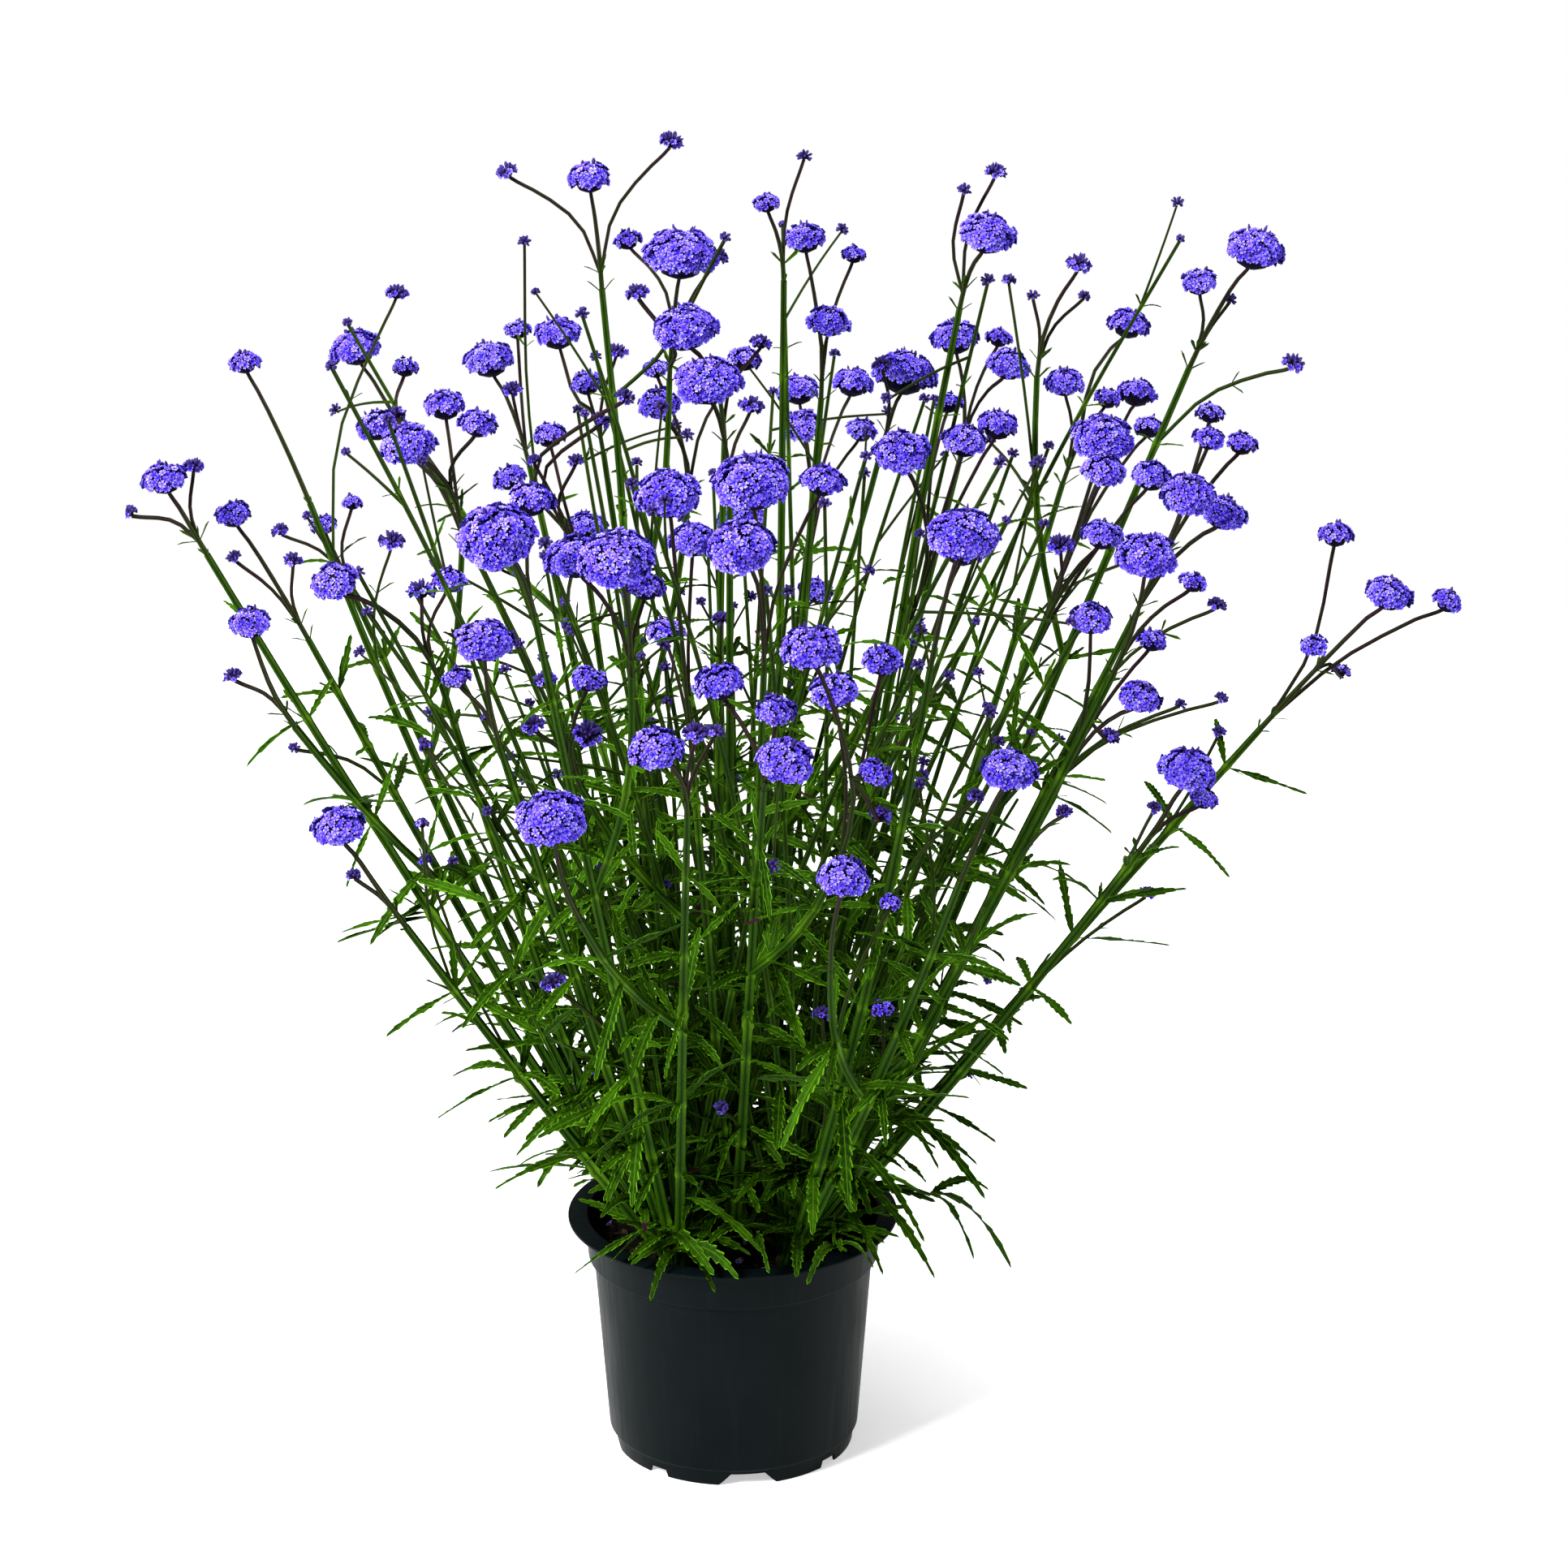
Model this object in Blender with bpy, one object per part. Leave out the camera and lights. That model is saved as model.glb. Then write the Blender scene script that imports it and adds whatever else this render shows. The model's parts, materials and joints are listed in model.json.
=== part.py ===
"""A tall verbena in flower, in its nursery pot.

Units are metres and +Z is up. The origin is the middle of the pot's underside, -Y is the plant's front.
Square green stems fan out of a few root crowns, and each ends in a forked truss of domed flower heads.
"""

import math
import random

import bmesh
import bpy
import numpy as np
from mathutils import Matrix, Vector

MM = 0.001
GAP = 0.3 * MM
SEED = 7

# Pot
ROUND_SIDES = 24
LIP_RADIUS = 95 * MM
LIP_THICKNESS = 2 * MM
POT_HEIGHT = 141 * MM
WALL = 1.4 * MM
BAND_TOP_RADIUS = 85.2 * MM
BAND_LOW_RADIUS = 83.6 * MM
BAND_LOW = 116 * MM
BODY_TOP_RADIUS = 80.3 * MM
BODY_LOW_RADIUS = 72.4 * MM
BODY_LOW = 10.5 * MM
FOOT_RADIUS = 69.4 * MM
FOOT_HEIGHT = 9 * MM
FLOOR_UNDER = 8 * MM
WELL_RADIUS = 45 * MM
NOTCHES = 8
FIRST_NOTCH = math.radians(-83.4)
WIDE_NOTCH = (math.radians(32), math.radians(16), 7.4 * MM)
NARROW_NOTCH = (math.radians(12), math.radians(9), 4.5 * MM)
DRAIN_RADIUS = 4 * MM
DRAIN_RING = 57 * MM

# Soil
SOIL_TOP = 125 * MM
SOIL_BUMP = 1.6 * MM

# Stems
CROWN_RINGS = ((3, 24 * MM, 30), (5, 52 * MM, 18))
CROWN_RADIUS = 8.5 * MM
CROWN_DEPTH = 20 * MM
CROWN_RISE = 8 * MM
CROWN_SPREAD = 5 * MM
LEAN_REACH = 72 * MM
STEM_PIECES = 5
BRANCH_PIECES = 3
STEM_LOW_RADIUS = 3.3 * MM
STEM_TOP_RADIUS = 1.8 * MM
BRANCH_LOW_RADIUS = 2.0 * MM
BOW = 0.02
OUTWARD_BOW = 0.75
BRANCH_CONTROL = (0.45, 0.1)
JOINT_STEP = 66 * MM
LOWEST_JOINT = 92 * MM
JOINT_BELOW_END = 23 * MM

# A side branch leaves a joint when its turn (degrees) and its reach are close to these.
BRANCH_REACH = (80 * MM, 260 * MM, 150 * MM)
SHOOT_REACH = (35 * MM, 200 * MM, 90 * MM)
STEEPEST_TURN = 52
EASY_TURN = 26
LEAST_RISE = 0.2
REACH_COST = 90
USED_COST = 30
SIDE_BRANCH_COST = 16

# Stalks
STALK_RADIUS = 1.25 * MM
SHOOT_RADIUS = 1.1 * MM
STALK_CONTROL = 0.42
SHOOT_CONTROL = (0.3, 0.15)
SINGLE_STALK = 85 * MM
SHORTEST_STALK = 30 * MM
SPREAD_SHARE = 1.25
FORK_DROP = 12 * MM
MOST_DROP_SHARE = 0.6
FORK_SHARES = (0.04, 0.04, 0.42, 0.42, 0.65)
FIRST_FORK = 8 * MM

# Keeping the lines apart
CLEARANCE = 1.4 * MM
RELAX_ROUNDS = 90
SMOOTH_ROUNDS = 65
PUSH = 0.6
HEAD_PUSH = 0.7
NEAR = 14 * MM

# Heads
CORE_POINTS = ((10, 5), (15, 6), (21, 8), (30, 12))
FEWEST_POINTS = 4
DOME_RISE = 0.66
UNDERSIDE = 0.2
CORE_SHARE = 0.8
FLORET_SHARE = 1.08

# Leaves
LEAF_LENGTH = 62 * MM
LEAF_THICKNESS = 0.7 * MM
LEAF_WIDTH_SHARE = 0.15
LEAF_SHRINK = (0.14, 0.38, 0.78)
LEAF_ROLL = math.radians(40)
LEAF_SPLAY = (math.radians(48), math.radians(84))
LEAF_DROOP = (0.05, 0.6)
HIGH_LEAF = 300 * MM
HIGH_DROOP_SHARE = 0.55
LEAF_TRIES = 7
LEAF_SPIN = 0.35
LEAF_CLEARANCE = 0.8 * MM
RIM_CLEARANCE = 4 * MM
SHORTEST_LEAF = 22 * MM
LOW_PAIRS = (24 * MM, 80 * MM)
MIDDLE_PAIRS = (110 * MM, 330 * MM)
LONG_LEAF = 58 * MM
LONG_OUTLINE = ((0.0, 0.3), (0.36, 0.96), (0.46, 0.62), (0.7, 0.84), (1.0, 0.0))
SHORT_OUTLINE = ((0.0, 0.3), (0.44, 1.0), (0.56, 0.6), (1.0, 0.0))

# The fan of heads stands a little to the right of the pot.
FAN_OFFSET = np.array([2.8, 0, -2]) * MM

OPEN, HALF, BUD = "open", "half", "bud"

# Flower heads in millimetres, as (right, back, up, across, stage).
# Each list is one truss, its main head first.
TRUSSES = [
    [(-311, 0, 575, 27, OPEN), (-297, 14, 579, 13, HALF), (-331, 0, 557, 10, HALF)],
    [(-279, 40, 545, 23, OPEN), (-247, 40, 519, 12, HALF), (-280, 44, 520, 10, HALF)],
    [(-235, 100, 524, 18, OPEN), (-219, 106, 536, 14, OPEN), (-260, 100, 521, 11, HALF)],
    [(-208, -130, 551, 28, OPEN), (-151, -104, 545, 21, OPEN), (-167, -80, 533, 17, HALF)],
    [(-263, -40, 504, 26, OPEN), (-274, -36, 474, 12, HALF)],
    [(-210, -130, 417, 32, OPEN), (-204, -120, 388, 9, HALF)],
    [(-222, 200, 605, 33, OPEN), (-195, 214, 591, 18, OPEN)],
    [(-272, 60, 627, 20, OPEN)],
    [(-175, -40, 603, 33, OPEN), (-195, 10, 602, 26, OPEN), (-159, 24, 610, 26, OPEN),
     (-139, -12, 608, 24, OPEN), (-188, 50, 600, 12, HALF)],
    [(-142, 170, 604, 33, OPEN), (-127, 192, 618, 18, OPEN), (-128, 140, 594, 13, HALF)],
    [(-106, 260, 601, 31, OPEN), (-88, 232, 577, 23, OPEN), (-70, 220, 599, 14, HALF)],
    [(-78, 20, 736, 26, OPEN), (-34, 20, 756, 15, HALF), (-122, 20, 740, 13, HALF)],
    [(-29, 0, 697, 43, OPEN), (-52, -18, 681, 14, HALF), (-10, 28, 692, 14, HALF), (-58, 34, 700, 17, OPEN)],
    [(-26, -60, 669, 37, OPEN), (14, -20, 654, 13, HALF)],
    [(-14, -112, 652, 38, OPEN), (8, -68, 630, 15, HALF)],
    [(-42, 40, 607, 26, OPEN), (-44, 74, 620, 17, OPEN), (5, 112, 617, 22, OPEN)],
    [(18, 80, 712, 17, OPEN), (39, 90, 737, 9, BUD)],
    [(40, 122, 684, 27, OPEN), (68, 134, 673, 16, OPEN), (53, 98, 641, 27, OPEN)],
    [(39, 268, 564, 28, OPEN), (72, 290, 564, 28, OPEN), (76, 240, 546, 22, OPEN), (40, 200, 558, 27, OPEN)],
    [(98, 150, 599, 40, OPEN), (84, 118, 613, 12, HALF)],
    [(89, -50, 600, 34, OPEN), (125, 2, 594, 28, OPEN), (146, 46, 593, 26, OPEN), (120, 82, 598, 18, OPEN)],
    [(135, -10, 710, 34, OPEN), (140, 4, 742, 13, HALF), (123, -2, 734, 8, BUD)],
    [(131, 220, 606, 32, OPEN), (159, 252, 600, 18, OPEN), (160, 182, 598, 28, OPEN)],
    [(191, 70, 679, 16, HALF), (166, 72, 662, 8, BUD), (196, 86, 659, 8, BUD)],
    [(237, 260, 606, 28, OPEN), (195, 202, 583, 26, OPEN), (223, 232, 567, 19, OPEN)],
    [(287, 60, 688, 36, OPEN), (257, 58, 671, 23, OPEN), (276, 70, 660, 8, BUD)],
    [(198, -30, 602, 38, OPEN), (194, -82, 598, 26, OPEN), (230, 28, 568, 26, OPEN),
     (235, 98, 580, 20, OPEN), (231, 132, 592, 25, OPEN)],
    [(241, -62, 579, 32, OPEN), (264, -30, 561, 28, OPEN), (258, -4, 597, 20, OPEN),
     (279, 22, 588, 20, OPEN), (265, 54, 598, 18, OPEN)],
    [(357, -20, 513, 29, OPEN), (334, 30, 534, 22, OPEN), (395, 10, 501, 20, OPEN),
     (316, -32, 488, 17, OPEN), (339, 20, 458, 12, HALF)],
    [(207, -190, 579, 34, OPEN), (237, -134, 551, 17, OPEN)],
    [(196, -60, 557, 25, OPEN), (173, -72, 555, 17, HALF)],
    [(184, -142, 533, 25, OPEN), (220, -100, 510, 19, OPEN), (209, -152, 494, 25, OPEN),
     (197, -118, 463, 12, HALF)],
    [(238, -124, 445, 34, OPEN), (249, -106, 424, 18, OPEN)],
    [(108, -290, 615, 39, OPEN)],
    [(134, -270, 491, 31, OPEN)],
    [(8, -258, 633, 43, OPEN), (2, -322, 618, 36, OPEN), (43, -208, 623, 25, OPEN)],
    [(-33, -218, 618, 36, OPEN), (-22, -170, 583, 27, OPEN), (-37, -112, 519, 22, OPEN)],
    [(-57, -302, 607, 40, OPEN), (-79, -240, 592, 33, OPEN), (-45, -230, 575, 22, OPEN)],
    [(-115, -290, 615, 43, OPEN), (-101, -230, 619, 26, OPEN)],
    [(-125, 50, 563, 22, OPEN), (-104, 72, 582, 22, OPEN), (-111, 28, 579, 9, HALF),
     (-88, 30, 578, 10, HALF), (-74, 20, 603, 12, HALF), (-60, -2, 621, 12, HALF)],
    [(-126, -220, 544, 32, OPEN), (-142, -190, 517, 17, OPEN)],
    [(-90, -300, 476, 39, OPEN)],
    [(23, -332, 516, 30, OPEN), (19, -316, 536, 22, OPEN), (-8, -292, 543, 28, OPEN)],
    [(36, -312, 566, 32, OPEN), (48, -268, 532, 27, OPEN), (72, -246, 541, 24, OPEN),
     (68, -262, 488, 20, OPEN), (72, -238, 458, 13, HALF)],
    [(-39, -322, 519, 29, OPEN), (-20, -298, 520, 14, HALF), (-11, -276, 514, 11, HALF)],
    [(-76, -170, 510, 21, OPEN), (-99, -146, 503, 14, HALF), (-105, -164, 484, 14, HALF),
     (-76, -186, 486, 17, HALF)],
    [(5, 322, 470, 34, OPEN), (50, 262, 440, 24, OPEN)],
    [(-92, 302, 470, 30, OPEN), (-145, 236, 468, 26, OPEN)],
    [(140, 282, 460, 32, OPEN)],
    [(52, -300, 446, 28, OPEN)],
]

# Young heads on thin green stalks, in the same form
SHOOTS = [
    (-190, 100, 658, 14, HALF), (-118, 110, 686, 8, BUD), (-5, -20, 712, 7, BUD),
    (155, 110, 663, 9, HALF), (263, -20, 508, 12, HALF), (223, -80, 362, 10, HALF),
    (228, -58, 404, 9, HALF), (270, 8, 427, 9, HALF), (269, -4, 450, 9, HALF),
    (245, -20, 452, 7, BUD), (120, -230, 466, 10, HALF), (94, -180, 457, 8, BUD),
    (170, -170, 438, 10, HALF), (-191, 30, 532, 16, HALF), (-246, 2, 422, 7, BUD),
    (-169, -50, 438, 9, HALF), (-172, -52, 394, 9, HALF), (-170, -60, 376, 9, HALF),
    (-8, -60, 512, 11, HALF), (304, 10, 636, 14, HALF), (78, -220, 406, 13, OPEN),
    (78, -130, 315, 14, OPEN), (46, -110, 304, 11, HALF), (-98, -130, 330, 15, HALF),
    (-80, -60, 252, 10, HALF), (-64, -80, 236, 9, HALF), (-9, -100, 246, 9, HALF),
    (128, -60, 250, 8, BUD), (245, 200, 480, 14, HALF), (-151, 200, 420, 14, HALF),
    (209, 150, 453, 14, HALF), (-60, 220, 420, 14, HALF), (-110, 150, 330, 14, HALF),
    (100, 170, 340, 12, HALF), (0, 230, 330, 12, HALF),
]


def unit(v):
    return v / max(np.linalg.norm(v), 1e-9)


def bent(start, control, end, pieces):
    """Points of a quadratic curve from start to end."""
    t = np.linspace(0, 1, pieces + 1)[:, None]
    return (1 - t) ** 2 * start + 2 * t * (1 - t) * control + t ** 2 * end


def along(points, distance):
    """The segment, the share of it, the point and the direction at a distance along a line."""
    steps = np.linalg.norm(np.diff(points, axis=0), axis=1)
    total = 0.0
    for i, step in enumerate(steps):
        if total + step >= distance or i == len(steps) - 1:
            share = min((distance - total) / step, 1.0)
            return i, share, points[i] + share * (points[i + 1] - points[i]), unit(points[i + 1] - points[i])
        total += step


def length_of(points):
    return float(np.linalg.norm(np.diff(points, axis=0), axis=1).sum())


def crowns():
    """Middle of each root crown on the soil: an inner and an outer ring."""
    found = []
    for count, radius, first in CROWN_RINGS:
        for i in range(count):
            turn = math.radians(first + 360 * i / count)
            found.append(np.array([radius * math.cos(turn), radius * math.sin(turn), SOIL_TOP]))
    return found


def new_line(points, low, top, node, kind, anchor=None):
    line = {"points": points, "low": low, "top": top, "node": node, "kind": kind, "anchor": anchor}
    line["facing"] = None
    return line


def fork_of(heads, base):
    """Where a truss forks: back from the middle of its heads, far enough for the stalks to spread gently."""
    middle = heads.mean(axis=0)
    rise = unit(middle - base)
    if len(heads) == 1:
        return middle - rise * SINGLE_STALK
    back = 0.0
    for head in heads:
        ahead = (head - middle) @ rise
        aside = np.linalg.norm(head - middle - ahead * rise)
        back = max(back, SPREAD_SHARE * aside - ahead, SHORTEST_STALK - ahead)
    return middle - rise * min(back + FORK_DROP, MOST_DROP_SHARE * np.linalg.norm(middle - base))


def nearest_joint(target, lines, kinds, reach, used):
    """The best joint on a line below the target for a side branch to leave from, or None."""
    shortest, longest, usual = reach
    best = None
    for number, line in enumerate(lines):
        if line["kind"] not in kinds:
            continue
        stops = np.arange(LOWEST_JOINT, length_of(line["points"]) - JOINT_BELOW_END, JOINT_STEP)
        for stop, distance in enumerate(stops):
            segment, share, point, heading = along(line["points"], distance)
            way = target - point
            far = np.linalg.norm(way)
            turn = math.degrees(math.acos(np.clip(unit(way) @ heading, -1, 1)))
            if not shortest < far < longest or turn > STEEPEST_TURN or way[2] < LEAST_RISE * far:
                continue
            cost = abs(turn - EASY_TURN) + REACH_COST * abs(far - usual) / usual
            cost += USED_COST * used.get((number, stop), 0)
            if best is None or cost < best["cost"]:
                best = {"cost": cost, "place": (number, stop), "anchor": (number, segment, share)}
                best.update(start=point, heading=heading)
    return best


def grow_stems(trusses, bases, rng):
    """One green line for each truss: from its crown, or as a side branch from a line that is there."""
    lines = []
    forks = {}
    used = {}
    order = sorted(range(len(trusses)), key=lambda i: -trusses[i][:, 2].mean())
    for index in order:
        heads = trusses[index]
        middle = heads.mean(axis=0)
        lean = middle[:2] / (middle[2] - SOIL_TOP) * LEAN_REACH
        crown = min(range(len(bases)), key=lambda k: np.linalg.norm(bases[k][:2] - lean))
        fork = fork_of(heads, bases[crown])
        joint = nearest_joint(fork, lines, ("stem",), BRANCH_REACH, used)
        if joint is not None and joint["cost"] < SIDE_BRANCH_COST:
            way = fork - joint["start"]
            aside = unit(way - (way @ joint["heading"]) * joint["heading"])
            bend = BRANCH_CONTROL[1] * np.linalg.norm(way) * aside
            control = joint["start"] + BRANCH_CONTROL[0] * way + bend
            points = bent(joint["start"], control, fork, BRANCH_PIECES)
            used[joint["place"]] = used.get(joint["place"], 0) + 1
            node = lines[joint["place"][0]]["node"]
            line = new_line(points, BRANCH_LOW_RADIUS, STEM_TOP_RADIUS, node, "branch", joint["anchor"])
        else:
            flat = unit(np.array([fork[0] - bases[crown][0], fork[1] - bases[crown][1], 0.0]))
            start = bases[crown] + flat * CROWN_SPREAD + np.array([0, 0, CROWN_RISE / 2])
            way = fork - start
            bow = np.array([rng.uniform(-1, 1), rng.uniform(-1, 1), 0]) + OUTWARD_BOW * flat
            control = start + 0.5 * way + BOW * np.linalg.norm(way) * bow
            points = bent(start, control, fork, STEM_PIECES)
            line = new_line(points, STEM_LOW_RADIUS, STEM_TOP_RADIUS, f"stems_{crown + 1}", "stem")
        forks[index] = len(lines)
        lines.append(line)
    return lines, forks


def grow_trusses(trusses, lines, forks):
    """The forked stalks of each truss. The first carries the main head, and the others leave it in pairs."""
    heads = []
    for index, spots in enumerate(trusses):
        stem = lines[forks[index]]["points"]
        rise = unit(stem[-1] - stem[-2])
        foot = stem[-1] + rise * GAP
        node = f"truss_{index + 1:02d}"
        main = len(lines)
        for k, spot in enumerate(spots):
            across, stage = TRUSSES[index][k][3] * MM, TRUSSES[index][k][4]
            if k == 0:
                start, heading, anchor = foot, rise, None
            else:
                points = lines[main]["points"]
                distance = max(FORK_SHARES[k - 1] * length_of(points), FIRST_FORK)
                segment, share, start, heading = along(points, distance)
                anchor = (main, segment, share)
            way = spot - start
            control = start + heading * STALK_CONTROL * np.linalg.norm(way)
            pieces = 3 if k == 0 else 2
            low = STEM_TOP_RADIUS if k == 0 else STALK_RADIUS
            kind = "stalk" if k == 0 else "side stalk"
            lines.append(new_line(bent(start, control, spot, pieces), low, STALK_RADIUS, node, kind, anchor))
            heads.append({"line": len(lines) - 1, "across": across, "stage": stage, "node": node})
        lines[main]["below"] = forks[index]
    return heads


def grow_shoots(lines, heads):
    """Young heads on thin stalks that leave a joint of the nearest stem."""
    used = {}
    for right, back, up, across, stage in SHOOTS:
        spot = np.array([right, back, up]) * MM + FAN_OFFSET
        joint = nearest_joint(spot, lines, ("stem", "branch"), SHOOT_REACH, used)
        if joint is None:
            continue
        used[joint["place"]] = used.get(joint["place"], 0) + 1
        node = lines[joint["place"][0]]["node"]
        start, heading = joint["start"], joint["heading"]
        way = spot - start
        control = start + heading * SHOOT_CONTROL[0] * np.linalg.norm(way) + way * SHOOT_CONTROL[1]
        path = bent(start, control, spot, 2)
        lines.append(new_line(path, SHOOT_RADIUS, SHOOT_RADIUS, node, "shoot", joint["anchor"]))
        heads.append({"line": len(lines) - 1, "across": across * MM, "stage": stage, "node": node})


def closest(p, q, r, s):
    """Shares along the segments p-q and r-s where they come closest, and the way to the first."""
    d1, d2, w = q - p, s - r, p - r
    a, e, b = (d1 * d1).sum(1), (d2 * d2).sum(1), (d1 * d2).sum(1)
    c, f = (d1 * w).sum(1), (d2 * w).sum(1)
    t = np.clip((b * f - c * e) / np.maximum(a * e - b * b, 1e-12), 0, 1)
    u = np.clip((b * t + f) / np.maximum(e, 1e-12), 0, 1)
    t = np.clip((b * u - c) / np.maximum(a, 1e-12), 0, 1)
    return t, u, p + d1 * t[:, None] - r - d2 * u[:, None]


def relax(lines, heads):
    """Bends the lines apart, between their fixed ends, until those of different nodes clear each other."""
    first = np.cumsum([0] + [len(line["points"]) for line in lines])
    points = np.concatenate([line["points"] for line in lines])
    rest = points.copy()
    free = np.ones(len(points), bool)
    starts, line_of, radius = [], [], []
    for k, line in enumerate(lines):
        free[first[k]] = free[first[k + 1] - 1] = False
        if line["kind"] == "stalk":
            free[first[k] + 1] = False
        count = len(line["points"]) - 1
        for i in range(count):
            starts.append(first[k] + i)
            line_of.append(k)
            radius.append(line["low"] + (line["top"] - line["low"]) * i / count)
    starts, line_of, radius = np.array(starts), np.array(line_of), np.array(radius)
    names = [line["node"] for line in lines]
    node_of = np.array([names.index(names[k]) for k in line_of])
    tip = np.array([first[head["line"] + 1] - 1 for head in heads])
    ball = np.array([head["across"] / 2 for head in heads])
    head_line = np.array([head["line"] for head in heads])
    i, j = np.triu_indices(len(starts), 1)
    apart = node_of[i] != node_of[j]
    i, j = i[apart], j[apart]
    move_free = free.astype(float)[:, None]
    for step in range(RELAX_ROUNDS):
        if step % 10 == 0:
            middle = (points[starts] + points[starts + 1]) / 2
            half = np.linalg.norm(points[starts + 1] - points[starts], axis=1) / 2
            near = np.linalg.norm(middle[i] - middle[j], axis=1) < half[i] + half[j] + NEAR
            a, b = i[near], j[near]
        shift = np.zeros_like(points)
        p, q = starts[a], starts[b]
        t, u, way = closest(points[p], points[p + 1], points[q], points[q + 1])
        distance = np.linalg.norm(way, axis=1)
        lack = radius[a] + radius[b] + CLEARANCE - distance
        touch = lack > 0
        push = way[touch] / np.maximum(distance[touch], 1e-6)[:, None] * lack[touch][:, None] * PUSH
        for chosen, share, sign in ((a, t, 1), (b, u, -1)):
            at = starts[chosen[touch]]
            np.add.at(shift, at, sign * push * (1 - share[touch])[:, None])
            np.add.at(shift, at + 1, sign * push * share[touch][:, None])
        centre = points[tip]
        for h in range(len(heads)):
            low, d = points[starts], points[starts + 1] - points[starts]
            share = np.clip(((centre[h] - low) * d).sum(1) / np.maximum((d * d).sum(1), 1e-12), 0, 1)
            way = low + d * share[:, None] - centre[h]
            distance = np.linalg.norm(way, axis=1)
            lack = ball[h] + radius + CLEARANCE - distance
            touch = (lack > 0) & (line_of != head_line[h])
            push = way[touch] / np.maximum(distance[touch], 1e-6)[:, None] * lack[touch][:, None] * HEAD_PUSH
            np.add.at(shift, starts[touch], push * (1 - share[touch])[:, None])
            np.add.at(shift, starts[touch] + 1, push * share[touch][:, None])
        points += shift * move_free
        if step < SMOOTH_ROUNDS:
            moved = points - rest
            smooth = moved.copy()
            inner = free[1:-1]
            smooth[1:-1][inner] = 0.6 * moved[1:-1][inner] + 0.2 * (moved[:-2][inner] + moved[2:][inner])
            points = rest + smooth
        for k, line in enumerate(lines):
            if line["anchor"] is not None:
                parent, segment, share = line["anchor"]
                at = first[parent] + segment
                points[first[k]] = points[at] + share * (points[at + 1] - points[at])
    for k, line in enumerate(lines):
        line["points"] = points[first[k]:first[k + 1]]
    for line in lines:
        if line["kind"] == "stalk":
            stem = lines[line["below"]]["points"]
            line["facing"] = unit(stem[-1] - stem[-2])
            line["points"][0] = stem[-1] + GAP * line["facing"]
    for head in heads:
        path = lines[head["line"]]["points"]
        head["centre"] = path[-1]
        head["axis"] = unit(path[-1] - path[-2])


def leaf_path(root, heading, side, length, splay, droop):
    """Five points along a leaf's midrib: out from the stem, then over and down."""
    out = unit(math.cos(splay) * heading + math.sin(splay) * side)
    s = np.linspace(0, 1, 5)[:, None]
    return root + length * (s * out - droop * s ** 2 * np.array([0, 0, 1.0]))


class Room:
    """What a new leaf has to clear: the lines, the heads, the pot and the leaves placed so far."""

    def __init__(self, lines, heads):
        self.start = np.concatenate([line["points"][:-1] for line in lines])
        self.end = np.concatenate([line["points"][1:] for line in lines])
        self.radius = np.concatenate([np.full(len(line["points"]) - 1, line["low"]) for line in lines])
        self.line = np.concatenate([np.full(len(line["points"]) - 1, k) for k, line in enumerate(lines)])
        self.centre = np.array([head["centre"] for head in heads])
        self.ball = np.array([head["across"] / 2 for head in heads])
        self.leaf = np.zeros((0, 3))
        self.leaf_radius = np.zeros(0)

    def free(self, spots, sizes, own):
        for spot, size in zip(spots, sizes):
            reach = np.hypot(spot[0], spot[1])
            if spot[2] < POT_HEIGHT + RIM_CLEARANCE + size and reach < LIP_RADIUS + RIM_CLEARANCE + size:
                if reach > BODY_TOP_RADIUS - RIM_CLEARANCE - size:
                    return False
                if spot[2] < SOIL_TOP + SOIL_BUMP + RIM_CLEARANCE / 2 + size:
                    return False
            way = self.end - self.start
            share = np.clip(((spot - self.start) * way).sum(1) / np.maximum((way * way).sum(1), 1e-12), 0, 1)
            distance = np.linalg.norm(self.start + way * share[:, None] - spot, axis=1)
            if ((distance < self.radius + size + LEAF_CLEARANCE) & (self.line != own)).any():
                return False
            if (np.linalg.norm(self.centre - spot, axis=1) < self.ball + size + LEAF_CLEARANCE).any():
                return False
            if (np.linalg.norm(self.leaf - spot, axis=1) < self.leaf_radius + size + LEAF_CLEARANCE).any():
                return False
        return True

    def take(self, spots, sizes):
        self.leaf = np.concatenate([self.leaf, spots])
        self.leaf_radius = np.concatenate([self.leaf_radius, sizes])


def leaf_size(height, rng):
    """Leaves are longest near the soil and small under the heads."""
    start, fall, loss = LEAF_SHRINK
    share = np.clip((height - SOIL_TOP - start) / fall, 0, 1)
    return LEAF_LENGTH * (1 - loss * share) * rng.uniform(0.86, 1.1)


def point_at(path, share):
    """The point at a share of a path whose points are evenly spread."""
    shares = np.linspace(0, 1, len(path))
    return np.array([np.interp(share, shares, path[:, c]) for c in range(3)])


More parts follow.
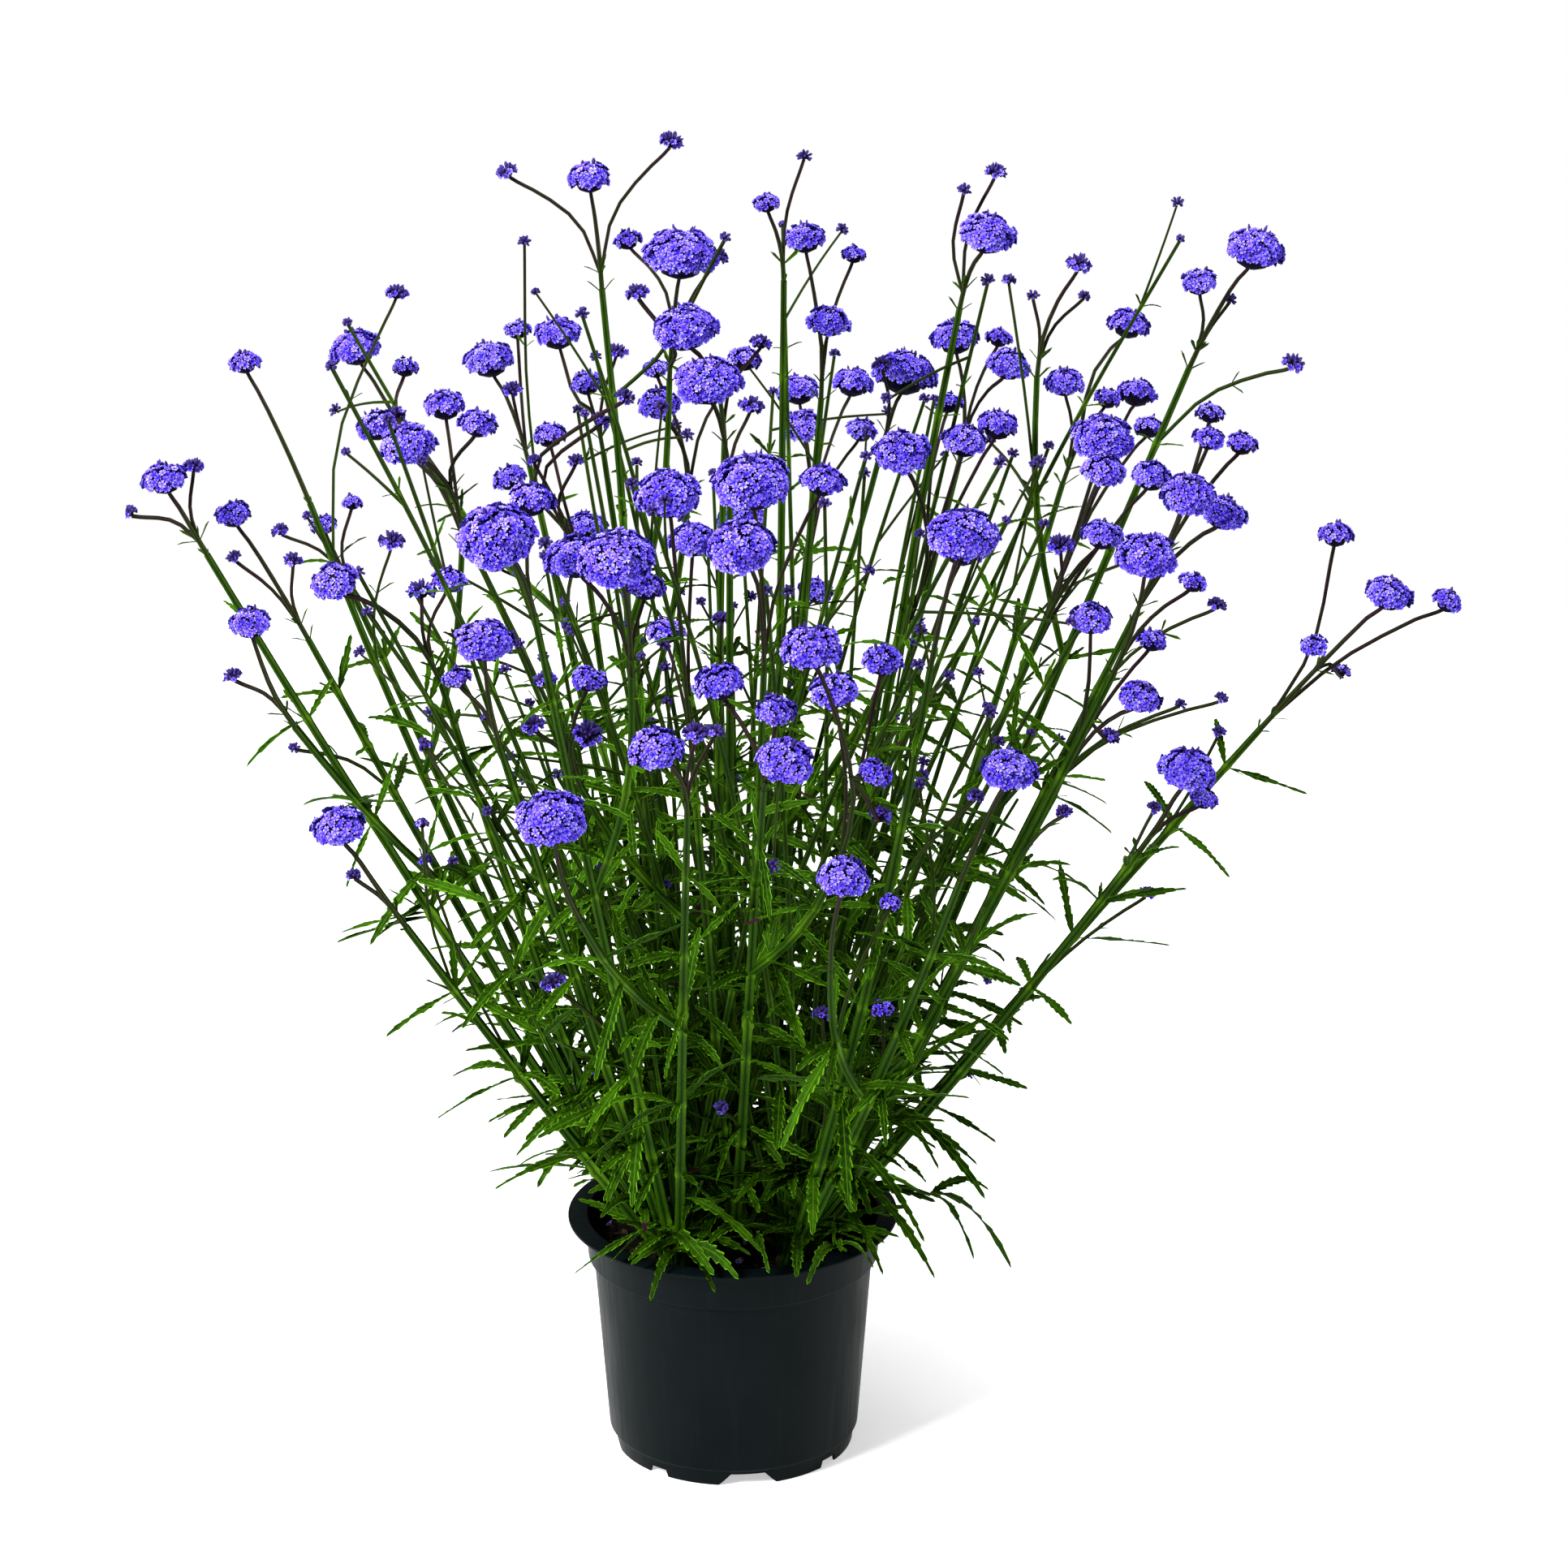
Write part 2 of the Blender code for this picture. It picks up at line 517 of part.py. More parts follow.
def place_pair(lines, number, distance, turn, room, rng):
    """Tries to hang an opposite pair of leaves on a line's joint. A leaf that finds no room is left out."""
    line = lines[number]
    _, _, root, heading = along(line["points"], distance)
    across = unit(np.cross(heading, np.array([math.cos(turn), math.sin(turn), 0.13])))
    size = leaf_size(root[2], rng)
    placed = []
    for sign in (1, -1):
        for attempt in range(LEAF_TRIES):
            splay = rng.uniform(*LEAF_SPLAY)
            droop = rng.uniform(*LEAF_DROOP) * (1 if root[2] < HIGH_LEAF else HIGH_DROOP_SHARE)
            spin = Matrix.Rotation(rng.uniform(-1, 1) * LEAF_SPIN * attempt, 3, Vector(heading))
            out = np.array(spin @ Vector(sign * across))
            path = leaf_path(root, heading, out, size, splay, droop)
            roll = Matrix.Rotation(rng.uniform(-1, 1) * LEAF_ROLL, 3, Vector(unit(path[2] - path[0])))
            side = np.array(roll @ Vector(unit(np.cross(path[1] - path[0], np.array([0, 0, 1.0])))))
            width = size * LEAF_WIDTH_SHARE
            fine = np.linspace(0.12, 1, 9)
            spots = np.array([point_at(path, share) for share in fine])
            sizes = np.maximum(width / 2 * np.sin(np.pi * np.clip(fine, 0.15, 0.93)), 0.8 * MM)
            if room.free(spots, sizes, number):
                room.take(spots[1:], sizes[1:])
                placed.append({"path": path, "side": side, "width": width, "node": line["node"]})
                break
    return placed


def grow_leaves(lines, heads, rng):
    """The large leaves: a low pair on two stems of three, a higher pair on all, one on each side branch."""
    room = Room(lines, heads)
    leaves = []
    for number, line in enumerate(lines):
        if line["kind"] not in ("stem", "branch"):
            continue
        total = length_of(line["points"])
        turn = rng.uniform(0, math.tau)
        spots = [rng.uniform(*LOW_PAIRS), rng.uniform(*MIDDLE_PAIRS)]
        if line["kind"] == "branch":
            spots = [0.5 * total]
        elif number % 3 == 0:
            spots = spots[1:]
        for distance in spots:
            turn += math.pi / 2
            leaves += place_pair(lines, number, distance, turn, room, rng)
    return [leaf for leaf in leaves if length_of(leaf["path"]) > SHORTEST_LEAF]


def plan():
    """Every line, head and large leaf of the plant."""
    rng = random.Random(SEED)
    trusses = [np.array([head[:3] for head in truss]) * MM + FAN_OFFSET for truss in TRUSSES]
    lines, forks = grow_stems(trusses, crowns(), rng)
    heads = grow_trusses(trusses, lines, forks)
    grow_shoots(lines, heads)
    relax(lines, heads)
    leaves = grow_leaves(lines, heads, rng)
    return lines, heads, leaves


def clear_scene():
    for obj in list(bpy.data.objects):
        bpy.data.objects.remove(obj, do_unlink=True)


def finish(name, colour, roughness, metallic=0.0):
    material = bpy.data.materials.new(name)
    material.use_nodes = True
    shader = material.node_tree.nodes["Principled BSDF"]
    shader.inputs["Base Color"].default_value = (*colour, 1)
    shader.inputs["Roughness"].default_value = roughness
    shader.inputs["Metallic"].default_value = metallic
    return material


def solid(name, points, faces):
    """A mesh object from points and faces, with every face turned outwards."""
    mesh = bpy.data.meshes.new(name)
    bm = bmesh.new()
    verts = [bm.verts.new(tuple(float(c) for c in p)) for p in points]
    for face in faces:
        bm.faces.new([verts[k] for k in face])
    bmesh.ops.recalc_face_normals(bm, faces=bm.faces)
    bm.to_mesh(mesh)
    bm.free()
    return bpy.data.objects.new(name, mesh)


def evaluated(obj):
    """The object's mesh with its modifiers applied."""
    bpy.context.view_layer.update()
    graph = bpy.context.evaluated_depsgraph_get()
    return bpy.data.meshes.new_from_object(obj.evaluated_get(graph))


def fuse(name, pieces, material, operation="UNION", solver="EXACT"):
    """Joins the pieces to the first, or cuts them from it, by one Boolean on a collection, applied."""
    body = pieces[0]
    body.name = body.data.name = name
    bpy.context.scene.collection.objects.link(body)
    if len(pieces) > 1:
        group = bpy.data.collections.new(name + "_pieces")
        bpy.context.scene.collection.children.link(group)
        for piece in pieces[1:]:
            group.objects.link(piece)
        modifier = body.modifiers.new("Join", "BOOLEAN")
        modifier.operation = operation
        modifier.operand_type = "COLLECTION"
        modifier.collection = group
        modifier.solver = solver
        mesh = evaluated(body)
        body.modifiers.remove(modifier)
        body.data = mesh
        for piece in list(group.objects):
            bpy.data.objects.remove(piece, do_unlink=True)
        bpy.data.collections.remove(group)
    body.data.materials.clear()
    body.data.materials.append(material)
    return body


def turned(name, profile, sides=ROUND_SIDES):
    """A closed turned body from (radius, height) points that run from the axis round to the axis."""
    points, rings = [], []
    for radius, height in profile:
        if radius == 0:
            rings.append([len(points)] * sides)
            points.append((0, 0, height))
            continue
        rings.append(list(range(len(points), len(points) + sides)))
        for i in range(sides):
            turn = math.tau * i / sides
            points.append((radius * math.cos(turn), radius * math.sin(turn), height))
    faces = []
    for low, high in zip(rings, rings[1:]):
        for i in range(sides):
            k = (i + 1) % sides
            face = [low[i], low[k], high[k], high[i]]
            if low[0] == low[1]:
                face = [low[0], high[k], high[i]]
            elif high[0] == high[1]:
                face = [low[i], low[k], high[0]]
            faces.append(face)
    return solid(name, points, faces)


def notch_cutter(turn, low_angle, top_angle, height):
    """A block with slanted ends that cuts one notch in the foot ring."""
    points = []
    for radius in (FOOT_RADIUS - 6 * MM, FOOT_RADIUS + 8 * MM):
        for z, angle in ((-2 * MM, low_angle), (height, top_angle)):
            for side in (-0.5, 0.5):
                a = turn + side * angle
                points.append((radius * math.cos(a), radius * math.sin(a), z))
    faces = [(0, 1, 3, 2), (4, 5, 7, 6), (0, 1, 5, 4), (2, 3, 7, 6), (0, 2, 6, 4), (1, 3, 7, 5)]
    return solid("notch", points, faces)


def prism(name, centre, radius, low, high, sides, turn=0.0):
    """An upright prism round a centre."""
    points = []
    for z in (low, high):
        for i in range(sides):
            a = turn + math.tau * i / sides
            points.append((centre[0] + radius * math.cos(a), centre[1] + radius * math.sin(a), z))
    faces = [tuple(range(sides)), tuple(range(sides, 2 * sides))]
    faces += [(i, (i + 1) % sides, sides + (i + 1) % sides, sides + i) for i in range(sides)]
    return solid(name, points, faces)


def make_pot():
    """The moulded pot: a well under its floor, a notched foot ring, a tapering body, a band and a lip."""
    floor = FLOOR_UNDER + WALL
    profile = [
        (0, 0), (WELL_RADIUS, 0), (WELL_RADIUS + MM, FLOOR_UNDER), (FOOT_RADIUS - WALL, FLOOR_UNDER),
        (FOOT_RADIUS - WALL, 0), (FOOT_RADIUS, 0), (FOOT_RADIUS + MM, FOOT_HEIGHT),
        (BODY_LOW_RADIUS, BODY_LOW), (BODY_TOP_RADIUS, BAND_LOW - 1.5 * MM), (BAND_LOW_RADIUS, BAND_LOW),
        (BAND_TOP_RADIUS, POT_HEIGHT - LIP_THICKNESS - MM), (LIP_RADIUS, POT_HEIGHT - LIP_THICKNESS),
        (LIP_RADIUS, POT_HEIGHT - 0.3 * MM), (BAND_TOP_RADIUS - WALL, POT_HEIGHT),
        (BAND_LOW_RADIUS - WALL, BAND_LOW + MM), (BODY_TOP_RADIUS - WALL, BAND_LOW - 0.5 * MM),
        (BODY_LOW_RADIUS - WALL, floor + 3 * MM), (FOOT_RADIUS - MM, floor), (WELL_RADIUS - 0.4 * MM, floor),
        (WELL_RADIUS - WALL, WALL), (0, WALL),
    ]
    pieces = [turned("pot", profile)]
    for i in range(NOTCHES):
        turn = FIRST_NOTCH + math.tau * i / NOTCHES
        pieces.append(notch_cutter(turn, *(WIDE_NOTCH, NARROW_NOTCH)[i % 2]))
        spot = (DRAIN_RING * math.cos(turn), DRAIN_RING * math.sin(turn))
        if i % 2 == 0:
            pieces.append(prism("drain", spot, DRAIN_RADIUS, FLOOR_UNDER - 3 * MM, floor + 3 * MM, 6, turn))
    pot = fuse("pot", pieces, finish("pot_plastic", (0.012, 0.016, 0.017), 0.42), "DIFFERENCE")
    pot.data.shade_smooth()
    pot.data.set_sharp_from_angle(angle=math.radians(35))


def make_soil(bases):
    """The root ball that fills the pot, with a lumpy top and a plain hole for each root crown."""
    inner = WALL + GAP
    floor = FLOOR_UNDER + WALL + GAP
    profile = [
        (0, WALL + GAP), (WELL_RADIUS - inner, WALL + GAP), (WELL_RADIUS - 0.4 * MM - GAP, floor),
        (FOOT_RADIUS - MM - GAP, floor), (BODY_TOP_RADIUS - inner, BAND_LOW - 0.5 * MM + GAP),
        (BAND_LOW_RADIUS - inner, BAND_LOW + MM + GAP),
        (BAND_LOW_RADIUS - inner + 0.4 * MM, SOIL_TOP - 2 * MM),
    ]
    rng = random.Random(SEED)
    sides = ROUND_SIDES
    body = turned("soil", profile + [(0, SOIL_TOP)])
    bm = bmesh.new()
    bm.from_mesh(body.data)
    peak = max(bm.verts, key=lambda v: v.co.z)
    bmesh.ops.delete(bm, geom=[peak], context="VERTS")
    edge = [v for v in bm.verts if v.co.z > SOIL_TOP - 3 * MM]
    rings = [sorted(edge, key=lambda v: math.atan2(v.co.y, v.co.x) % math.tau)]
    for count, radius in ((sides // 2, 62 * MM), (sides // 4, 36 * MM)):
        ring = []
        for i in range(count):
            turn = math.tau * (i + 0.25) / count
            height = SOIL_TOP + rng.uniform(-1, 1) * SOIL_BUMP
            ring.append(bm.verts.new((radius * math.cos(turn), radius * math.sin(turn), height)))
        outer = rings[-1]
        for i in range(count):
            a, b, c = outer[2 * i], outer[2 * i + 1], outer[(2 * i + 2) % len(outer)]
            bm.faces.new((a, b, ring[i]))
            bm.faces.new((b, c, ring[i]))
            bm.faces.new((c, ring[(i + 1) % count], ring[i]))
        rings.append(ring)
    middle = bm.verts.new((0, 0, SOIL_TOP + SOIL_BUMP))
    last = rings[-1]
    for i, vert in enumerate(last):
        bm.faces.new((vert, last[(i + 1) % len(last)], middle))
    bmesh.ops.recalc_face_normals(bm, faces=bm.faces)
    bm.to_mesh(body.data)
    bm.free()
    holes = [
        prism("hole", base, CROWN_RADIUS + GAP, SOIL_TOP - CROWN_DEPTH - GAP, SOIL_TOP + 9 * MM, 6)
        for base in bases
    ]
    fuse("soil", [body] + holes, finish("soil_dark", (0.02, 0.014, 0.009), 0.95), "DIFFERENCE")


def frame_at(way):
    """Two directions square to a line's direction, turned the same way along the whole plant."""
    reference = np.array([1.0, 0, 0]) if abs(way[0]) < 0.8 else np.array([0, 1.0, 0])
    across = unit(np.cross(way, reference))
    return across, np.cross(way, across)


def rings_along(line, points, sides):
    """Corner points of a line's cross-sections, turned alike along the line."""
    rings = []
    across = None
    last = len(points) - 1
    for i, point in enumerate(points):
        way = unit(points[min(i + 1, last)] - points[max(i - 1, 0)])
        if i == 0 and line["facing"] is not None:
            way = line["facing"]
        if across is None:
            across, other = frame_at(way)
        else:
            across = unit(across - (across @ way) * way)
            other = np.cross(way, across)
        radius = line["low"] + (line["top"] - line["low"]) * i / last
        for k in range(sides):
            turn = math.tau * (k + 0.5) / sides
            rings.append(point + radius * (math.cos(turn) * across + math.sin(turn) * other))
    return rings


def side_faces(rings, sides):
    """The four-sided faces between one ring of corners and the next."""
    faces = []
    for a in range(0, rings - sides, sides):
        for k in range(sides):
            low, next_low = a + k, a + (k + 1) % sides
            faces.append((low, next_low, next_low + sides, low + sides))
    return faces


def stem_solid(line):
    """A square stem, with flat ends square to it."""
    rings = rings_along(line, line["points"], 4)
    ends = [(0, 1, 2, 3), tuple(range(len(rings) - 4, len(rings)))]
    return solid("stem", rings, ends + side_faces(len(rings), 4))


def head_points(count, across):
    """Floret places over a dome, on a golden spiral from its top to just under its edge."""
    radius = across / 2
    low = math.cos(math.radians(106))
    points = []
    for i in range(count):
        z = 1 - (1 - low) * (i + 0.35) / (count - 0.3)
        turn = i * math.radians(137.508)
        ring = radius * math.sqrt(max(1 - z * z, 0))
        points.append((ring * math.cos(turn), ring * math.sin(turn), DOME_RISE * radius * z))
    return points


def stalk_with_head(line, head):
    """A stalk and its domed head: a smaller core, with each floret a raised point, larger than life."""
    across, axis = head["across"], head["axis"]
    count = FEWEST_POINTS
    for size, points in CORE_POINTS:
        if across > size * MM:
            count = points
    turn = Vector(axis).to_track_quat("Z", "Y").to_matrix().to_4x4()
    place = Matrix.Translation(Vector(head["centre"])) @ turn
    path = line["points"].copy()
    path[-1] = head["centre"] - UNDERSIDE * across * axis
    bm = bmesh.new()
    stalk = [bm.verts.new(tuple(corner)) for corner in rings_along(line, path, 3)]
    neck = stalk[-3:]
    dome = [bm.verts.new(place @ Vector(point)) for point in head_points(count, across)]
    bmesh.ops.convex_hull(bm, input=dome + neck)
    inner = [vert for vert in dome if not vert.link_faces]
    top = [face for face in bm.faces if not set(face.verts) & set(neck)]
    florets = bmesh.ops.poke(bm, faces=top)["verts"] if count > FEWEST_POINTS else []
    back = place.inverted()
    for verts, share in ((dome, CORE_SHARE), (florets, FLORET_SHARE)):
        for vert in verts:
            spot = back @ vert.co
            reach = (spot.x ** 2 + spot.y ** 2 + (spot.z / DOME_RISE) ** 2) ** 0.5
            vert.co = place @ (spot * share * across / 2 / reach)
    bmesh.ops.delete(bm, geom=inner, context="VERTS")
    bm.faces.remove(next(face for face in bm.faces if set(face.verts) == set(neck)))
    bm.faces.new(stalk[:3])
    for face in side_faces(len(stalk), 3):
        bm.faces.new([stalk[k] for k in face])
    bmesh.ops.recalc_face_normals(bm, faces=bm.faces)
    mesh = bpy.data.meshes.new("head")
    bm.to_mesh(mesh)
    bm.free()
    return bpy.data.objects.new("head", mesh)


def leaf_solid(leaf):
    """A thin arched blade with coarse teeth, split into triangles alike on both faces."""
    path, side = leaf["path"], leaf["side"]
    spots = []
    for share, width in LONG_OUTLINE if length_of(path) > LONG_LEAF else SHORT_OUTLINE:
        way = point_at(path, share + 0.05) - point_at(path, share - 0.05)
        normal = unit(np.cross(side, way))
        spots.append((point_at(path, share), width * leaf["width"] / 2, normal))
    points, faces = [], []
    for level in (0.5, -0.5):
        for middle, width, normal in spots[:-1]:
            lift = level * LEAF_THICKNESS * normal
            points += [middle - width * side + lift, middle + width * side + lift]
        points.append(spots[-1][0] + level * LEAF_THICKNESS * spots[-1][2])
    half = len(points) // 2
    rows = len(spots) - 1
    for base, flip in ((0, False), (half, True)):
        for i in range(rows - 1):
            a = base + 2 * i
            for face in ((a, a + 1, a + 3), (a, a + 3, a + 2)):
                faces.append(face[::-1] if flip else face)
        a = base + 2 * (rows - 1)
        face = (a, a + 1, a + 2)
        faces.append(face[::-1] if flip else face)
    rim = [2 * i for i in range(rows)] + [half - 1] + [2 * i + 1 for i in reversed(range(rows))]
    for a, b in zip(rim, rim[1:] + rim[:1]):
        faces.append((a, b, b + half, a + half))
    return solid("leaf", points, faces)


def make_plant(lines, heads, leaves, bases):
    """Fuses what grows together: stems and leaves of each crown, and stalks and heads of each truss."""
    green = finish("stem_green", (0.05, 0.13, 0.015), 0.5)
    violet = finish("flower_violet", (0.16, 0.11, 0.85), 0.6)
    pieces = {}
    for k, base in enumerate(bases):
        crown = prism("crown", base, CROWN_RADIUS, SOIL_TOP - CROWN_DEPTH, SOIL_TOP + CROWN_RISE, 6)
        pieces[f"stems_{k + 1}"] = [crown]
    for line in lines:
        if line["kind"] in ("stem", "branch"):
            pieces[line["node"]].append(stem_solid(line))
    for head in heads:
        pieces.setdefault(head["node"], []).append(stalk_with_head(lines[head["line"]], head))
    for leaf in leaves:
        pieces[leaf["node"]].append(leaf_solid(leaf))
    for name, group in pieces.items():
        fuse(name, group, green if name.startswith("stems") else violet)


def main():
    clear_scene()
    bases = crowns()
    lines, heads, leaves = plan()
    make_pot()
    make_soil(bases)
    make_plant(lines, heads, leaves, bases)


main()
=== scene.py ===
"""The looks of the tall verbena in its nursery pot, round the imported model.

Metres, +Z up, -Y the front. The places of stems, stalks, heads and large leaves come from the same
named values and steps as the solids, so each fine piece lies where its solid does.
"""

import json
import math
import random

import bmesh
import bpy
import numpy as np
from mathutils import Matrix, Vector, noise

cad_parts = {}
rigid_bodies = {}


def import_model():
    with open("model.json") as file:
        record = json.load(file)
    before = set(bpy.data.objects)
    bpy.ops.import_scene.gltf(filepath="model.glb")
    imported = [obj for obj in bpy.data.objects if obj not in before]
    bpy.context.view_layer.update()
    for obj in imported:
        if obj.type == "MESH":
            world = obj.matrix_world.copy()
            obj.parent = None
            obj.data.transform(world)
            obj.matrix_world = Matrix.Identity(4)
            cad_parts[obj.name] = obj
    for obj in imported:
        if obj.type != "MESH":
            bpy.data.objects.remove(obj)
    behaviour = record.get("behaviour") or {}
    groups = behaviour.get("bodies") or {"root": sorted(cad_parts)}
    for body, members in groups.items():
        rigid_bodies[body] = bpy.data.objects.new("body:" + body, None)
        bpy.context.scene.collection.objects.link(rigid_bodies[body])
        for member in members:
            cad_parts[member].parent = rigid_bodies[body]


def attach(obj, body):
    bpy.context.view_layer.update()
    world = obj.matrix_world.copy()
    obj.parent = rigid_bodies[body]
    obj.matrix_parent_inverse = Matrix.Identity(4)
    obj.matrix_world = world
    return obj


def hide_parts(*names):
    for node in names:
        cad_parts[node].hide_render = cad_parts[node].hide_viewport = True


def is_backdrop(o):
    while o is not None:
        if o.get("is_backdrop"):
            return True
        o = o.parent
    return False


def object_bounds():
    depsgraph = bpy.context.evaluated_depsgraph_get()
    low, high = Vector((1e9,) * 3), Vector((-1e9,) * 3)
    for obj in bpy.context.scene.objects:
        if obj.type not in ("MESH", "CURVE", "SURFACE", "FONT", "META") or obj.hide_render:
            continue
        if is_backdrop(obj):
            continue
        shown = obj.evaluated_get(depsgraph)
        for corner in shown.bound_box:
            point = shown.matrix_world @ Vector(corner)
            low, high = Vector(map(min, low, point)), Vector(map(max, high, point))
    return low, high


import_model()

CAD_LOW, CAD_HIGH = (list(corner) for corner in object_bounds())

MM = 0.001
GAP = 0.3 * MM
SEED = 7
TINY = 1e-12
UP = np.array([0, 0, 1.0])

# Pot
LIP_RADIUS = 95 * MM
LIP_THICKNESS = 2 * MM
POT_HEIGHT = 141 * MM
WALL = 1.4 * MM
BAND_TOP_RADIUS = 85.2 * MM
BAND_LOW_RADIUS = 83.6 * MM
BAND_LOW = 116 * MM
BODY_TOP_RADIUS = 80.3 * MM
BODY_LOW_RADIUS = 72.4 * MM
BODY_LOW = 10.5 * MM
FOOT_RADIUS = 69.4 * MM
FOOT_HEIGHT = 9 * MM
FLOOR_UNDER = 8 * MM
WELL_RADIUS = 45 * MM
NOTCHES = 8
FIRST_NOTCH = math.radians(-83.4)
WIDE_NOTCH = (math.radians(32), math.radians(16), 7.4 * MM)
NARROW_NOTCH = (math.radians(12), math.radians(9), 4.5 * MM)
DRAIN_RADIUS = 4 * MM
DRAIN_RING = 57 * MM

# Soil
SOIL_TOP = 125 * MM
SOIL_BUMP = 1.6 * MM

# Stems
CROWN_RINGS = ((3, 24 * MM, 30), (5, 52 * MM, 18))
CROWN_RADIUS = 8.5 * MM
CROWN_RISE = 8 * MM
CROWN_SPREAD = 5 * MM
LEAN_REACH = 72 * MM
STEM_PIECES = 5
BRANCH_PIECES = 3
STEM_LOW_RADIUS = 3.3 * MM
STEM_TOP_RADIUS = 1.8 * MM
BRANCH_LOW_RADIUS = 2.0 * MM
BOW = 0.02
OUTWARD_BOW = 0.75
BRANCH_CONTROL = (0.45, 0.1)
JOINT_STEP = 66 * MM
LOWEST_JOINT = 92 * MM
JOINT_BELOW_END = 23 * MM

# A side branch leaves a joint when its turn (degrees) and its reach are close to these.
BRANCH_REACH = (80 * MM, 260 * MM, 150 * MM)
SHOOT_REACH = (35 * MM, 200 * MM, 90 * MM)
STEEPEST_TURN = 52
EASY_TURN = 26
LEAST_RISE = 0.2
REACH_COST = 90
USED_COST = 30
SIDE_BRANCH_COST = 16

# Stalks
STALK_RADIUS = 1.25 * MM
SHOOT_RADIUS = 1.1 * MM
STALK_CONTROL = 0.42
SHOOT_CONTROL = (0.3, 0.15)
SINGLE_STALK = 85 * MM
SHORTEST_STALK = 30 * MM
SPREAD_SHARE = 1.25
FORK_DROP = 12 * MM
MOST_DROP_SHARE = 0.6
FORK_SHARES = (0.04, 0.04, 0.42, 0.42, 0.65)
FIRST_FORK = 8 * MM

# Keeping the lines apart
CLEARANCE = 1.4 * MM
RELAX_ROUNDS = 90
SMOOTH_ROUNDS = 65
PUSH = 0.6
HEAD_PUSH = 0.7
NEAR = 14 * MM
ROUNDS_A_SEARCH = 10
KEPT_SHARE = 0.6

# Leaves
LEAF_LENGTH = 62 * MM
LEAF_WIDTH_SHARE = 0.15
LEAF_SHRINK = (0.14, 0.38, 0.78)
LEAF_ROLL = math.radians(40)
LEAF_SPLAY = (math.radians(48), math.radians(84))
LEAF_DROOP = (0.05, 0.6)
HIGH_LEAF = 300 * MM
HIGH_DROOP_SHARE = 0.55
LEAF_TRIES = 7
LEAF_SPIN = 0.35
LEAF_CLEARANCE = 0.8 * MM
RIM_CLEARANCE = 4 * MM
LEAF_TILT = 0.13
LEAF_SPREAD = (0.86, 1.1)
LEAF_STEPS = np.linspace(0, 1, 5)[:, None]
LEAF_TESTS = np.linspace(0.12, 1, 9)
LEAST_HALF_WIDTH = 0.8 * MM
SHORTEST_LEAF = 22 * MM
LOW_PAIRS = (24 * MM, 80 * MM)
MIDDLE_PAIRS = (110 * MM, 330 * MM)

# The fan of heads stands a little to the right of the pot.
FAN_OFFSET = np.array([2.8, 0, -2]) * MM

OPEN, HALF, BUD = "open", "half", "bud"
WOODY = ("stem", "branch")

